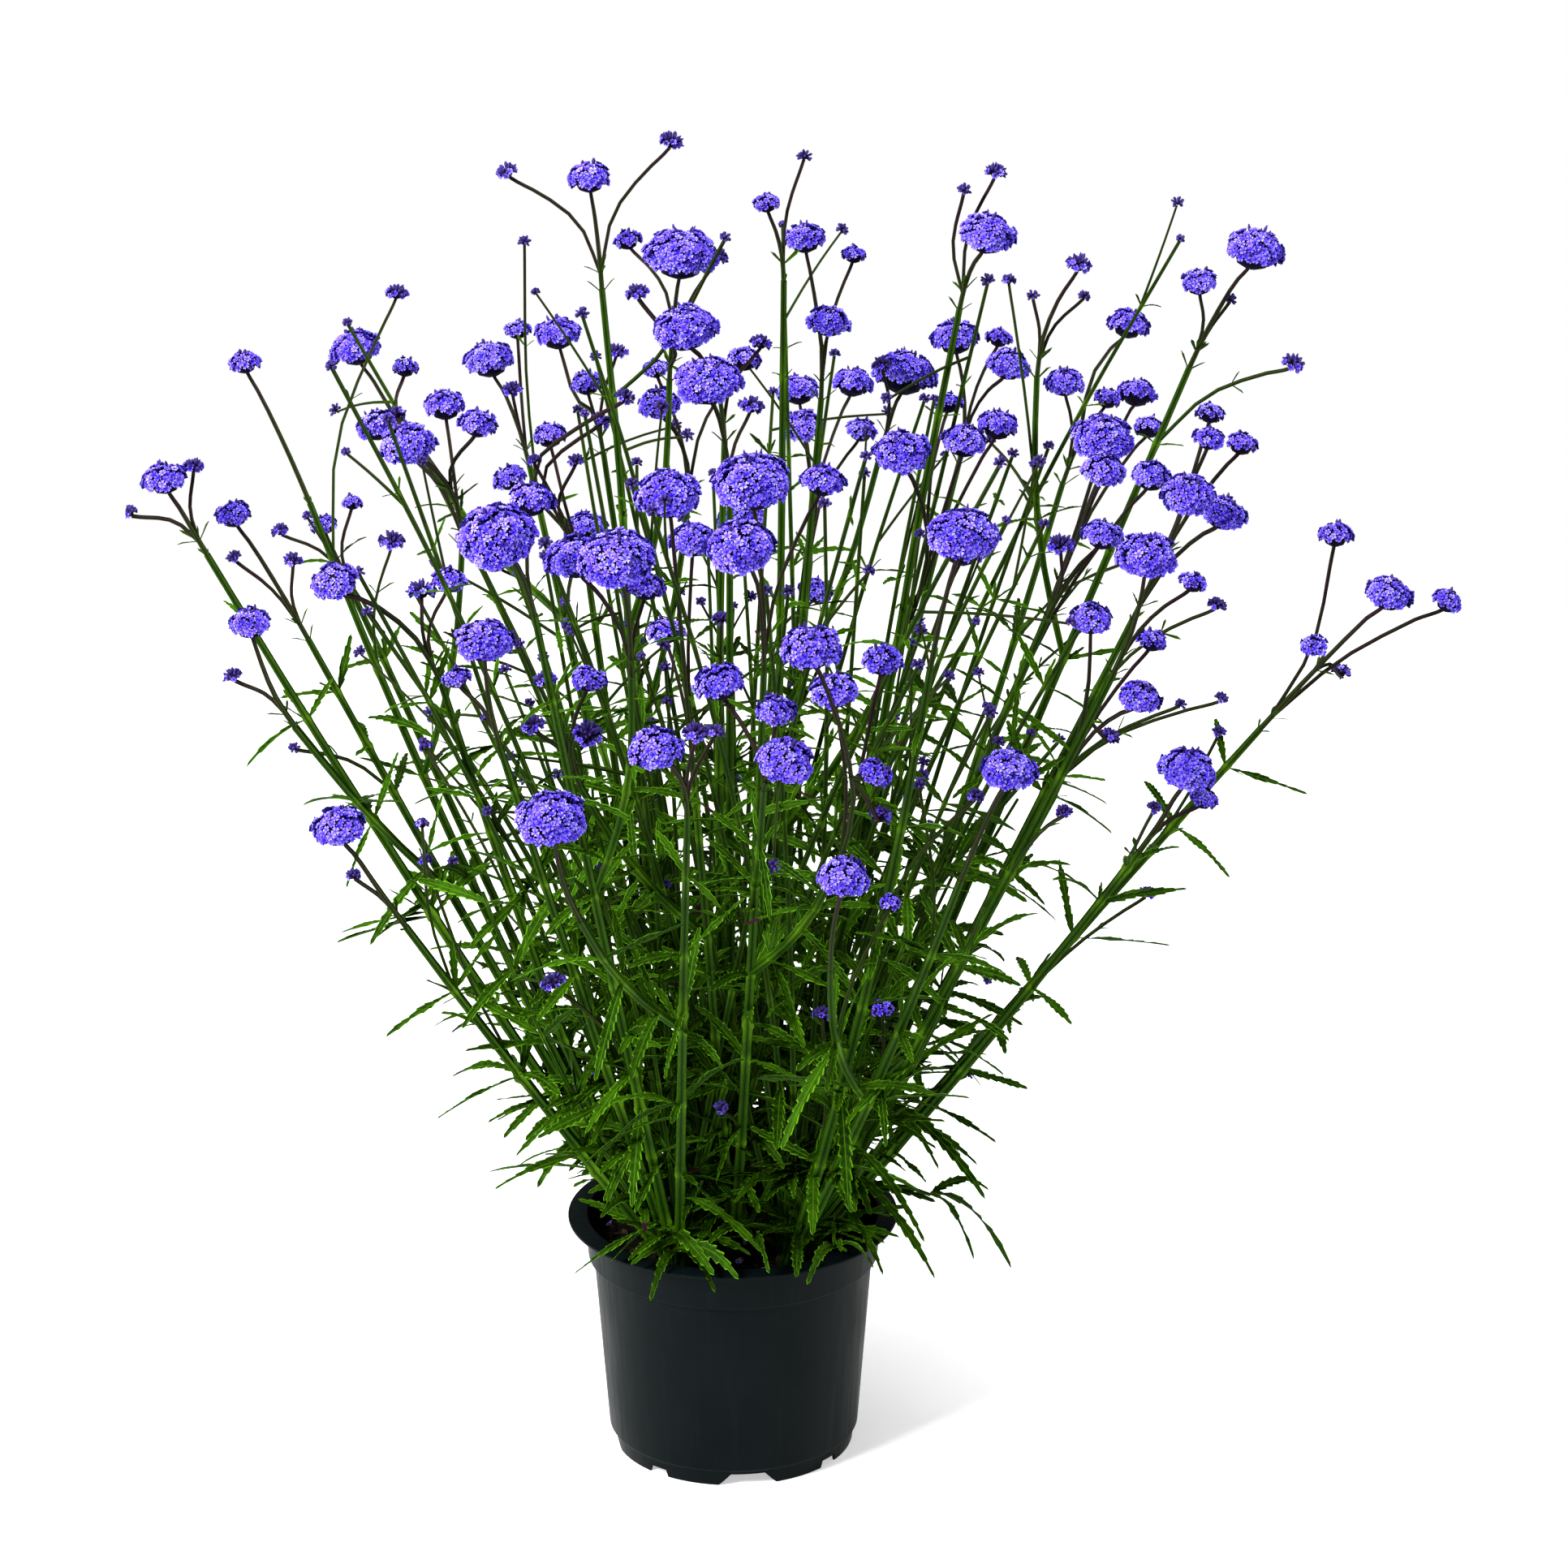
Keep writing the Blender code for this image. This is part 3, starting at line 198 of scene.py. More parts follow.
# Flower heads in millimetres, as (right, back, up, across, stage).
# Each list is one truss, its main head first.
TRUSSES = [
    [(-311, 0, 575, 27, OPEN), (-297, 14, 579, 13, HALF), (-331, 0, 557, 10, HALF)],
    [(-279, 40, 545, 23, OPEN), (-247, 40, 519, 12, HALF), (-280, 44, 520, 10, HALF)],
    [(-235, 100, 524, 18, OPEN), (-219, 106, 536, 14, OPEN), (-260, 100, 521, 11, HALF)],
    [(-208, -130, 551, 28, OPEN), (-151, -104, 545, 21, OPEN), (-167, -80, 533, 17, HALF)],
    [(-263, -40, 504, 26, OPEN), (-274, -36, 474, 12, HALF)],
    [(-210, -130, 417, 32, OPEN), (-204, -120, 388, 9, HALF)],
    [(-222, 200, 605, 33, OPEN), (-195, 214, 591, 18, OPEN)],
    [(-272, 60, 627, 20, OPEN)],
    [(-175, -40, 603, 33, OPEN), (-195, 10, 602, 26, OPEN), (-159, 24, 610, 26, OPEN),
     (-139, -12, 608, 24, OPEN), (-188, 50, 600, 12, HALF)],
    [(-142, 170, 604, 33, OPEN), (-127, 192, 618, 18, OPEN), (-128, 140, 594, 13, HALF)],
    [(-106, 260, 601, 31, OPEN), (-88, 232, 577, 23, OPEN), (-70, 220, 599, 14, HALF)],
    [(-78, 20, 736, 26, OPEN), (-34, 20, 756, 15, HALF), (-122, 20, 740, 13, HALF)],
    [(-29, 0, 697, 43, OPEN), (-52, -18, 681, 14, HALF), (-10, 28, 692, 14, HALF), (-58, 34, 700, 17, OPEN)],
    [(-26, -60, 669, 37, OPEN), (14, -20, 654, 13, HALF)],
    [(-14, -112, 652, 38, OPEN), (8, -68, 630, 15, HALF)],
    [(-42, 40, 607, 26, OPEN), (-44, 74, 620, 17, OPEN), (5, 112, 617, 22, OPEN)],
    [(18, 80, 712, 17, OPEN), (39, 90, 737, 9, BUD)],
    [(40, 122, 684, 27, OPEN), (68, 134, 673, 16, OPEN), (53, 98, 641, 27, OPEN)],
    [(39, 268, 564, 28, OPEN), (72, 290, 564, 28, OPEN), (76, 240, 546, 22, OPEN), (40, 200, 558, 27, OPEN)],
    [(98, 150, 599, 40, OPEN), (84, 118, 613, 12, HALF)],
    [(89, -50, 600, 34, OPEN), (125, 2, 594, 28, OPEN), (146, 46, 593, 26, OPEN), (120, 82, 598, 18, OPEN)],
    [(135, -10, 710, 34, OPEN), (140, 4, 742, 13, HALF), (123, -2, 734, 8, BUD)],
    [(131, 220, 606, 32, OPEN), (159, 252, 600, 18, OPEN), (160, 182, 598, 28, OPEN)],
    [(191, 70, 679, 16, HALF), (166, 72, 662, 8, BUD), (196, 86, 659, 8, BUD)],
    [(237, 260, 606, 28, OPEN), (195, 202, 583, 26, OPEN), (223, 232, 567, 19, OPEN)],
    [(287, 60, 688, 36, OPEN), (257, 58, 671, 23, OPEN), (276, 70, 660, 8, BUD)],
    [(198, -30, 602, 38, OPEN), (194, -82, 598, 26, OPEN), (230, 28, 568, 26, OPEN),
     (235, 98, 580, 20, OPEN), (231, 132, 592, 25, OPEN)],
    [(241, -62, 579, 32, OPEN), (264, -30, 561, 28, OPEN), (258, -4, 597, 20, OPEN),
     (279, 22, 588, 20, OPEN), (265, 54, 598, 18, OPEN)],
    [(357, -20, 513, 29, OPEN), (334, 30, 534, 22, OPEN), (395, 10, 501, 20, OPEN),
     (316, -32, 488, 17, OPEN), (339, 20, 458, 12, HALF)],
    [(207, -190, 579, 34, OPEN), (237, -134, 551, 17, OPEN)],
    [(196, -60, 557, 25, OPEN), (173, -72, 555, 17, HALF)],
    [(184, -142, 533, 25, OPEN), (220, -100, 510, 19, OPEN), (209, -152, 494, 25, OPEN),
     (197, -118, 463, 12, HALF)],
    [(238, -124, 445, 34, OPEN), (249, -106, 424, 18, OPEN)],
    [(108, -290, 615, 39, OPEN)],
    [(134, -270, 491, 31, OPEN)],
    [(8, -258, 633, 43, OPEN), (2, -322, 618, 36, OPEN), (43, -208, 623, 25, OPEN)],
    [(-33, -218, 618, 36, OPEN), (-22, -170, 583, 27, OPEN), (-37, -112, 519, 22, OPEN)],
    [(-57, -302, 607, 40, OPEN), (-79, -240, 592, 33, OPEN), (-45, -230, 575, 22, OPEN)],
    [(-115, -290, 615, 43, OPEN), (-101, -230, 619, 26, OPEN)],
    [(-125, 50, 563, 22, OPEN), (-104, 72, 582, 22, OPEN), (-111, 28, 579, 9, HALF),
     (-88, 30, 578, 10, HALF), (-74, 20, 603, 12, HALF), (-60, -2, 621, 12, HALF)],
    [(-126, -220, 544, 32, OPEN), (-142, -190, 517, 17, OPEN)],
    [(-90, -300, 476, 39, OPEN)],
    [(23, -332, 516, 30, OPEN), (19, -316, 536, 22, OPEN), (-8, -292, 543, 28, OPEN)],
    [(36, -312, 566, 32, OPEN), (48, -268, 532, 27, OPEN), (72, -246, 541, 24, OPEN),
     (68, -262, 488, 20, OPEN), (72, -238, 458, 13, HALF)],
    [(-39, -322, 519, 29, OPEN), (-20, -298, 520, 14, HALF), (-11, -276, 514, 11, HALF)],
    [(-76, -170, 510, 21, OPEN), (-99, -146, 503, 14, HALF), (-105, -164, 484, 14, HALF),
     (-76, -186, 486, 17, HALF)],
    [(5, 322, 470, 34, OPEN), (50, 262, 440, 24, OPEN)],
    [(-92, 302, 470, 30, OPEN), (-145, 236, 468, 26, OPEN)],
    [(140, 282, 460, 32, OPEN)],
    [(52, -300, 446, 28, OPEN)],
]

# Young heads on thin green stalks, in the same form
SHOOTS = [
    (-190, 100, 658, 14, HALF), (-118, 110, 686, 8, BUD), (-5, -20, 712, 7, BUD),
    (155, 110, 663, 9, HALF), (263, -20, 508, 12, HALF), (223, -80, 362, 10, HALF),
    (228, -58, 404, 9, HALF), (270, 8, 427, 9, HALF), (269, -4, 450, 9, HALF),
    (245, -20, 452, 7, BUD), (120, -230, 466, 10, HALF), (94, -180, 457, 8, BUD),
    (170, -170, 438, 10, HALF), (-191, 30, 532, 16, HALF), (-246, 2, 422, 7, BUD),
    (-169, -50, 438, 9, HALF), (-172, -52, 394, 9, HALF), (-170, -60, 376, 9, HALF),
    (-8, -60, 512, 11, HALF), (304, 10, 636, 14, HALF), (78, -220, 406, 13, OPEN),
    (78, -130, 315, 14, OPEN), (46, -110, 304, 11, HALF), (-98, -130, 330, 15, HALF),
    (-80, -60, 252, 10, HALF), (-64, -80, 236, 9, HALF), (-9, -100, 246, 9, HALF),
    (128, -60, 250, 8, BUD), (245, 200, 480, 14, HALF), (-151, 200, 420, 14, HALF),
    (209, 150, 453, 14, HALF), (-60, 220, 420, 14, HALF), (-110, 150, 330, 14, HALF),
    (100, 170, 340, 12, HALF), (0, 230, 330, 12, HALF),
]


def unit(v):
    return v / max(np.linalg.norm(v), 1e-9)


def bent(start, control, end, pieces):
    """Points of a quadratic curve from start to end."""
    t = np.linspace(0, 1, pieces + 1)[:, None]
    return (1 - t) ** 2 * start + 2 * t * (1 - t) * control + t ** 2 * end


def along(points, distance):
    """The segment, the share of it, the point and the direction at a distance along a line."""
    steps = np.linalg.norm(np.diff(points, axis=0), axis=1)
    total = 0.0
    for i, step in enumerate(steps):
        if total + step >= distance or i == len(steps) - 1:
            share = min((distance - total) / step, 1.0)
            return i, share, points[i] + share * (points[i + 1] - points[i]), unit(points[i + 1] - points[i])
        total += step


def length_of(points):
    return float(np.linalg.norm(np.diff(points, axis=0), axis=1).sum())


def crowns():
    """Middle of each root crown on the soil: an inner and an outer ring."""
    found = []
    for count, radius, first in CROWN_RINGS:
        for i in range(count):
            turn = math.radians(first + 360 * i / count)
            found.append(np.array([radius * math.cos(turn), radius * math.sin(turn), SOIL_TOP]))
    return found


def new_line(points, low, top, node, kind, anchor=None, joints=()):
    """A stem, stalk or shoot: its points, its radii at the foot and the top, its node and its kind."""
    return {
        "points": points, "low": low, "top": top, "node": node, "kind": kind, "anchor": anchor,
        "facing": None, "joints": list(joints), "leafy": [],
    }


def fork_of(heads, base):
    """Where a truss forks: back from the middle of its heads, far enough for the stalks to spread gently."""
    middle = heads.mean(axis=0)
    rise = unit(middle - base)
    if len(heads) == 1:
        return middle - rise * SINGLE_STALK
    back = 0.0
    for head in heads:
        ahead = (head - middle) @ rise
        aside = np.linalg.norm(head - middle - ahead * rise)
        back = max(back, SPREAD_SHARE * aside - ahead, SHORTEST_STALK - ahead)
    return middle - rise * min(back + FORK_DROP, MOST_DROP_SHARE * np.linalg.norm(middle - base))


def nearest_joint(target, lines, kinds, reach, used):
    """The best joint on a line below the target for a side branch to leave from, or None."""
    shortest, longest, usual = reach
    best = None
    for number, line in enumerate(lines):
        if line["kind"] not in kinds:
            continue
        stops = np.arange(LOWEST_JOINT, length_of(line["points"]) - JOINT_BELOW_END, JOINT_STEP)
        for stop, distance in enumerate(stops):
            segment, share, point, heading = along(line["points"], distance)
            way = target - point
            far = np.linalg.norm(way)
            turn = math.degrees(math.acos(np.clip(unit(way) @ heading, -1, 1)))
            if not shortest < far < longest or turn > STEEPEST_TURN or way[2] < LEAST_RISE * far:
                continue
            cost = abs(turn - EASY_TURN) + REACH_COST * abs(far - usual) / usual
            cost += USED_COST * used.get((number, stop), 0)
            if best is None or cost < best["cost"]:
                best = {"cost": cost, "place": (number, stop), "anchor": (number, segment, share)}
                best.update(start=point, heading=heading)
    return best


def grow_stems(trusses, bases, rng):
    """One green line for each truss: from its crown, or as a side branch from a line that is there."""
    lines = []
    forks = {}
    used = {}
    order = sorted(range(len(trusses)), key=lambda i: -trusses[i][:, 2].mean())
    for index in order:
        heads = trusses[index]
        middle = heads.mean(axis=0)
        lean = middle[:2] / (middle[2] - SOIL_TOP) * LEAN_REACH
        crown = min(range(len(bases)), key=lambda k: np.linalg.norm(bases[k][:2] - lean))
        fork = fork_of(heads, bases[crown])
        joint = nearest_joint(fork, lines, ("stem",), BRANCH_REACH, used)
        if joint is not None and joint["cost"] < SIDE_BRANCH_COST:
            way = fork - joint["start"]
            aside = unit(way - (way @ joint["heading"]) * joint["heading"])
            bend = BRANCH_CONTROL[1] * np.linalg.norm(way) * aside
            control = joint["start"] + BRANCH_CONTROL[0] * way + bend
            points = bent(joint["start"], control, fork, BRANCH_PIECES)
            used[joint["place"]] = used.get(joint["place"], 0) + 1
            node = lines[joint["place"][0]]["node"]
            line = new_line(points, BRANCH_LOW_RADIUS, STEM_TOP_RADIUS, node, "branch", joint["anchor"])
        else:
            flat = unit(np.array([fork[0] - bases[crown][0], fork[1] - bases[crown][1], 0.0]))
            start = bases[crown] + flat * CROWN_SPREAD + np.array([0, 0, CROWN_RISE / 2])
            way = fork - start
            bow = np.array([rng.uniform(-1, 1), rng.uniform(-1, 1), 0]) + OUTWARD_BOW * flat
            control = start + 0.5 * way + BOW * np.linalg.norm(way) * bow
            points = bent(start, control, fork, STEM_PIECES)
            line = new_line(points, STEM_LOW_RADIUS, STEM_TOP_RADIUS, f"stems_{crown + 1}", "stem")
        forks[index] = len(lines)
        lines.append(line)
    return lines, forks


def grow_trusses(trusses, lines, forks):
    """The forked stalks of each truss. The first carries the main head, and the others leave it in pairs."""
    heads = []
    for index, spots in enumerate(trusses):
        stem = lines[forks[index]]["points"]
        rise = unit(stem[-1] - stem[-2])
        foot = stem[-1] + rise * GAP
        node = f"truss_{index + 1:02d}"
        main = len(lines)
        for k, spot in enumerate(spots):
            across, stage = TRUSSES[index][k][3] * MM, TRUSSES[index][k][4]
            if k == 0:
                start, heading, anchor = foot, rise, None
            else:
                points = lines[main]["points"]
                distance = max(FORK_SHARES[k - 1] * length_of(points), FIRST_FORK)
                segment, share, start, heading = along(points, distance)
                anchor = (main, segment, share)
            way = spot - start
            control = start + heading * STALK_CONTROL * np.linalg.norm(way)
            pieces = 3 if k == 0 else 2
            low = STEM_TOP_RADIUS if k == 0 else STALK_RADIUS
            kind = "stalk" if k == 0 else "side stalk"
            lines.append(new_line(bent(start, control, spot, pieces), low, STALK_RADIUS, node, kind, anchor))
            heads.append({"line": len(lines) - 1, "across": across, "stage": stage, "node": node})
        lines[main]["below"] = forks[index]
    return heads


def grow_shoots(lines, heads):
    """Young heads on thin stalks that leave a joint of the nearest stem. One that finds none is left out."""
    used = {}
    for right, back, up, across, stage in SHOOTS:
        spot = np.array([right, back, up]) * MM + FAN_OFFSET
        joint = nearest_joint(spot, lines, WOODY, SHOOT_REACH, used)
        if joint is None:
            continue
        used[joint["place"]] = used.get(joint["place"], 0) + 1
        node = lines[joint["place"][0]]["node"]
        start, heading = joint["start"], joint["heading"]
        way = spot - start
        control = start + heading * SHOOT_CONTROL[0] * np.linalg.norm(way) + way * SHOOT_CONTROL[1]
        path = bent(start, control, spot, 2)
        lines.append(new_line(path, SHOOT_RADIUS, SHOOT_RADIUS, node, "shoot", joint["anchor"]))
        heads.append({"line": len(lines) - 1, "across": across * MM, "stage": stage, "node": node})


def nearest_share(spot, start, way):
    """Shares along segments where they pass closest to a spot."""
    return np.clip(((spot - start) * way).sum(1) / np.maximum((way * way).sum(1), TINY), 0, 1)


def closest(p, q, r, s):
    """Shares along the segments p-q and r-s where they come closest, and the way to the first."""
    d1, d2, w = q - p, s - r, p - r
    a, e, b = (d1 * d1).sum(1), (d2 * d2).sum(1), (d1 * d2).sum(1)
    c, f = (d1 * w).sum(1), (d2 * w).sum(1)
    t = np.clip((b * f - c * e) / np.maximum(a * e - b * b, TINY), 0, 1)
    u = np.clip((b * t + f) / np.maximum(e, TINY), 0, 1)
    t = np.clip((b * u - c) / np.maximum(a, TINY), 0, 1)
    return t, u, p + d1 * t[:, None] - r - d2 * u[:, None]


def segments_of(lines, first):
    """For each segment of the lines: the number of its first point, its line and its radius."""
    found = []
    for k, line in enumerate(lines):
        count = len(line["points"]) - 1
        taper = line["top"] - line["low"]
        found += [(first[k] + i, k, line["low"] + taper * i / count) for i in range(count)]
    return [np.array(column) for column in zip(*found)]


def free_points(lines, first):
    """Which points may move: a line's ends stay, and so does the second point of a main stalk."""
    free = np.ones(first[-1], bool)
    for k, line in enumerate(lines):
        free[first[k]] = free[first[k + 1] - 1] = False
        if line["kind"] == "stalk":
            free[first[k] + 1] = False
    return free


def push(shift, at, share, amount):
    """Adds an amount at a share of the way from each point to the next one."""
    np.add.at(shift, at, amount * (1 - share)[:, None])
    np.add.at(shift, at + 1, amount * share[:, None])


def part_lines(shift, points, starts, radius, a, b):
    """Pushes the segments a and b apart where they lack room."""
    p, q = starts[a], starts[b]
    t, u, way = closest(points[p], points[p + 1], points[q], points[q + 1])
    distance = np.linalg.norm(way, axis=1)
    lack = radius[a] + radius[b] + CLEARANCE - distance
    touch = lack > 0
    amount = way[touch] / np.maximum(distance[touch], 1e-6)[:, None] * lack[touch][:, None] * PUSH
    push(shift, p[touch], t[touch], amount)
    push(shift, q[touch], u[touch], -amount)


def part_from_head(shift, points, starts, radius, others, centre, ball):
    """Pushes the segments of other lines off a head."""
    low, along_it = points[starts], points[starts + 1] - points[starts]
    share = nearest_share(centre, low, along_it)
    way = low + along_it * share[:, None] - centre
    distance = np.linalg.norm(way, axis=1)
    lack = ball + radius + CLEARANCE - distance
    touch = (lack > 0) & others
    amount = way[touch] / np.maximum(distance[touch], 1e-6)[:, None] * lack[touch][:, None] * HEAD_PUSH
    push(shift, starts[touch], share[touch], amount)


def smoothed(points, rest, free):
    """Evens out how far the free points have moved from their places at rest."""
    moved = points - rest
    smooth = moved.copy()
    inner = free[1:-1]
    beside = (1 - KEPT_SHARE) / 2 * (moved[:-2][inner] + moved[2:][inner])
    smooth[1:-1][inner] = KEPT_SHARE * moved[1:-1][inner] + beside
    return rest + smooth


def relax(lines, heads):
    """Bends the lines apart, between their fixed ends, until those of different nodes clear each other."""
    first = np.cumsum([0] + [len(line["points"]) for line in lines])
    points = np.concatenate([line["points"] for line in lines])
    rest = points.copy()
    free = free_points(lines, first)
    starts, line_of, radius = segments_of(lines, first)
    names = [line["node"] for line in lines]
    node_of = np.array([names.index(names[k]) for k in line_of])
    i, j = np.triu_indices(len(starts), 1)
    apart = node_of[i] != node_of[j]
    i, j = i[apart], j[apart]
    for step in range(RELAX_ROUNDS):
        if step % ROUNDS_A_SEARCH == 0:
            middle = (points[starts] + points[starts + 1]) / 2
            half = np.linalg.norm(points[starts + 1] - points[starts], axis=1) / 2
            near = np.linalg.norm(middle[i] - middle[j], axis=1) < half[i] + half[j] + NEAR
            a, b = i[near], j[near]
        shift = np.zeros_like(points)
        part_lines(shift, points, starts, radius, a, b)
        for head in heads:
            centre, others = points[first[head["line"] + 1] - 1], line_of != head["line"]
            part_from_head(shift, points, starts, radius, others, centre, head["across"] / 2)
        points += shift * free[:, None]
        if step < SMOOTH_ROUNDS:
            points = smoothed(points, rest, free)
        for k, line in enumerate(lines):
            if line["anchor"] is not None:
                parent, segment, share = line["anchor"]
                at = first[parent] + segment
                points[first[k]] = points[at] + share * (points[at + 1] - points[at])
    for k, line in enumerate(lines):
        line["points"] = points[first[k]:first[k + 1]]
    for line in lines:
        if line["kind"] == "stalk":
            stem = lines[line["below"]]["points"]
            line["facing"] = unit(stem[-1] - stem[-2])
            line["points"][0] = stem[-1] + GAP * line["facing"]
    for head in heads:
        path = lines[head["line"]]["points"]
        head["centre"] = path[-1]
        head["axis"] = unit(path[-1] - path[-2])


def between(heading, side, angle):
    """The direction at an angle from a heading towards a side."""
    return unit(math.cos(angle) * heading + math.sin(angle) * side)


def drooping(root, out, length, droop):
    """Five points along a leaf's midrib: out from its root, then over and down."""
    return root + length * (LEAF_STEPS * out - droop * LEAF_STEPS ** 2 * UP)


class Room:
    """What a new leaf has to clear: the lines, the heads, the pot and the leaves placed so far."""

    def __init__(self, lines, heads):
        self.start = np.concatenate([line["points"][:-1] for line in lines])
        self.end = np.concatenate([line["points"][1:] for line in lines])
        self.radius = np.concatenate([np.full(len(line["points"]) - 1, line["low"]) for line in lines])
        self.line = np.concatenate([np.full(len(line["points"]) - 1, k) for k, line in enumerate(lines)])
        self.centre = np.array([head["centre"] for head in heads])
        self.ball = np.array([head["across"] / 2 for head in heads])
        self.leaf = np.zeros((0, 3))
        self.leaf_radius = np.zeros(0)

    def free(self, spots, sizes, own):
        for spot, size in zip(spots, sizes):
            reach = np.hypot(spot[0], spot[1])
            if spot[2] < POT_HEIGHT + RIM_CLEARANCE + size and reach < LIP_RADIUS + RIM_CLEARANCE + size:
                if reach > BODY_TOP_RADIUS - RIM_CLEARANCE - size:
                    return False
                if spot[2] < SOIL_TOP + SOIL_BUMP + RIM_CLEARANCE / 2 + size:
                    return False
            way = self.end - self.start
            share = nearest_share(spot, self.start, way)
            distance = np.linalg.norm(self.start + way * share[:, None] - spot, axis=1)
            if ((distance < self.radius + size + LEAF_CLEARANCE) & (self.line != own)).any():
                return False
            if (np.linalg.norm(self.centre - spot, axis=1) < self.ball + size + LEAF_CLEARANCE).any():
                return False
            if (np.linalg.norm(self.leaf - spot, axis=1) < self.leaf_radius + size + LEAF_CLEARANCE).any():
                return False
        return True

    def take(self, spots, sizes):
        self.leaf = np.concatenate([self.leaf, spots])
        self.leaf_radius = np.concatenate([self.leaf_radius, sizes])


def leaf_size(height, rng):
    """Leaves are longest near the soil and small under the heads."""
    start, fall, loss = LEAF_SHRINK
    share = np.clip((height - SOIL_TOP - start) / fall, 0, 1)
    return LEAF_LENGTH * (1 - loss * share) * rng.uniform(*LEAF_SPREAD)


def point_at(path, share):
    """The point at a share of a path whose points are evenly spread."""
    shares = np.linspace(0, 1, len(path))
    return np.array([np.interp(share, shares, path[:, c]) for c in range(3)])


def place_pair(lines, number, distance, turn, room, rng):
    """Tries to hang an opposite pair of leaves on a line's joint. A leaf that finds no room is left out."""
    line = lines[number]
    _, _, root, heading = along(line["points"], distance)
    across = unit(np.cross(heading, np.array([math.cos(turn), math.sin(turn), LEAF_TILT])))
    size = leaf_size(root[2], rng)
    width = size * LEAF_WIDTH_SHARE
    sizes = np.maximum(width / 2 * np.sin(np.pi * np.clip(LEAF_TESTS, 0.15, 0.93)), LEAST_HALF_WIDTH)
    placed = []
    for sign in (1, -1):
        for attempt in range(LEAF_TRIES):
            splay = rng.uniform(*LEAF_SPLAY)
            droop = rng.uniform(*LEAF_DROOP) * (1 if root[2] < HIGH_LEAF else HIGH_DROOP_SHARE)
            spin = Matrix.Rotation(rng.uniform(-1, 1) * LEAF_SPIN * attempt, 3, Vector(heading))
            out = np.array(spin @ Vector(sign * across))
            path = drooping(root, between(heading, out, splay), size, droop)
            roll = Matrix.Rotation(rng.uniform(-1, 1) * LEAF_ROLL, 3, Vector(unit(path[2] - path[0])))
            side = np.array(roll @ Vector(unit(np.cross(path[1] - path[0], UP))))
            spots = np.array([point_at(path, share) for share in LEAF_TESTS])
            if room.free(spots, sizes, number):
                room.take(spots[1:], sizes[1:])
                placed.append({"path": path, "side": side, "width": width, "node": line["node"]})
                break
    return placed


def grow_leaves(lines, heads, rng):
    """The large leaves: a low pair on two stems of three, a higher pair on all, one on each side branch."""
    room = Room(lines, heads)
    leaves = []
    for number, line in enumerate(lines):
        if line["kind"] not in WOODY:
            continue
        total = length_of(line["points"])
        turn = rng.uniform(0, math.tau)
        spots = [rng.uniform(*LOW_PAIRS), rng.uniform(*MIDDLE_PAIRS)]
        if line["kind"] == "branch":
            spots = [0.5 * total]
        elif number % 3 == 0:
            spots = spots[1:]
        for distance in spots:
            turn += math.pi / 2
            leaves += place_pair(lines, number, distance, turn, room, rng)
    return [leaf for leaf in leaves if length_of(leaf["path"]) > SHORTEST_LEAF]


def plan():
    """Every line, head and large leaf of the plant."""
    rng = random.Random(SEED)
    trusses = [np.array([head[:3] for head in truss]) * MM + FAN_OFFSET for truss in TRUSSES]
    lines, forks = grow_stems(trusses, crowns(), rng)
    heads = grow_trusses(trusses, lines, forks)
    grow_shoots(lines, heads)
    relax(lines, heads)
    leaves = grow_leaves(lines, heads, rng)
    return lines, heads, leaves


def frame_at(way):
    """Two directions square to a line's direction, turned the same way along the whole plant."""
    reference = np.array([1.0, 0, 0]) if abs(way[0]) < 0.8 else np.array([0, 1.0, 0])
    across = unit(np.cross(way, reference))
    return across, np.cross(way, across)


# Fine shapes
BODY = "root"
FINE_SIDES = 96
SOIL_SECTORS = 96
SOIL_RINGS = 34
EDGE_EASE = 0.6 * MM
SOIL_EDGE = BAND_LOW_RADIUS - WALL - GAP + 0.4 * MM
CLODS = ((0.3, 90, 1.5), (5.1, 260, 0.9), (9.7, 800, 0.45))
CRUMBS = 460
CRUMB_SIZES = (0.6, 2.3)
FIBRES = 150
FIBRE_LENGTHS = (2, 9)
FALLEN = 26

# A floret of unit radius: (height, tone) of its throat, its clefts and its foot, and its lobes' outline
# as (radius, degrees, height, tone)
LOBES = 5
THROAT = (-0.3, 0.0)
CLEFT_RADIUS = 0.42
CLEFT = (0.02, 0.35)
FOOT = (-1.0, -0.2)
LOBE_STATIONS = ((0.95, -20, -0.04, 1.0), (0.84, 0, 0.02, 0.8), (0.95, 20, -0.04, 1.0))

# Heads
FLORET_RADIUS = 2.5 * MM
FLORETS_PER_MM2 = 0.098
FEWEST_FLORETS = 7
LOWEST_FLORET = 104
FINE_RISE = 0.8
CREASE = 0.17
CREASE_FROM = 0.97
CREASE_EASE = 0.12
GOLDEN_TURN = math.radians(137.508)
FLORET_SPREAD = (0.84, 1.12)
FLORET_SCATTER = 0.13
FLORET_REACH = (0.92, 1.01)
FLORET_CUP = (0.3, 2.2)
FLORET_RAG = 0.045
LUMP_SPAN = 4 * MM
LUMP_RING = 88
BUD_SCATTER = 0.15
BUD_ACROSS = 3.3 * MM
BUD_WIDTHS = (0.8, 1.15)
BUD_LENGTHS = (0.85, 1.1)
BUD_MARGIN = 0.4 * MM
CALYX_SIZE = np.array([2.6, 2.6, 3.6]) * MM
UPRIGHT = 0.75
NECK_SHARE = 0.17
NECK_BEND = 22 * MM
NECK_STOPS = (15 * MM, 10 * MM, 5 * MM)

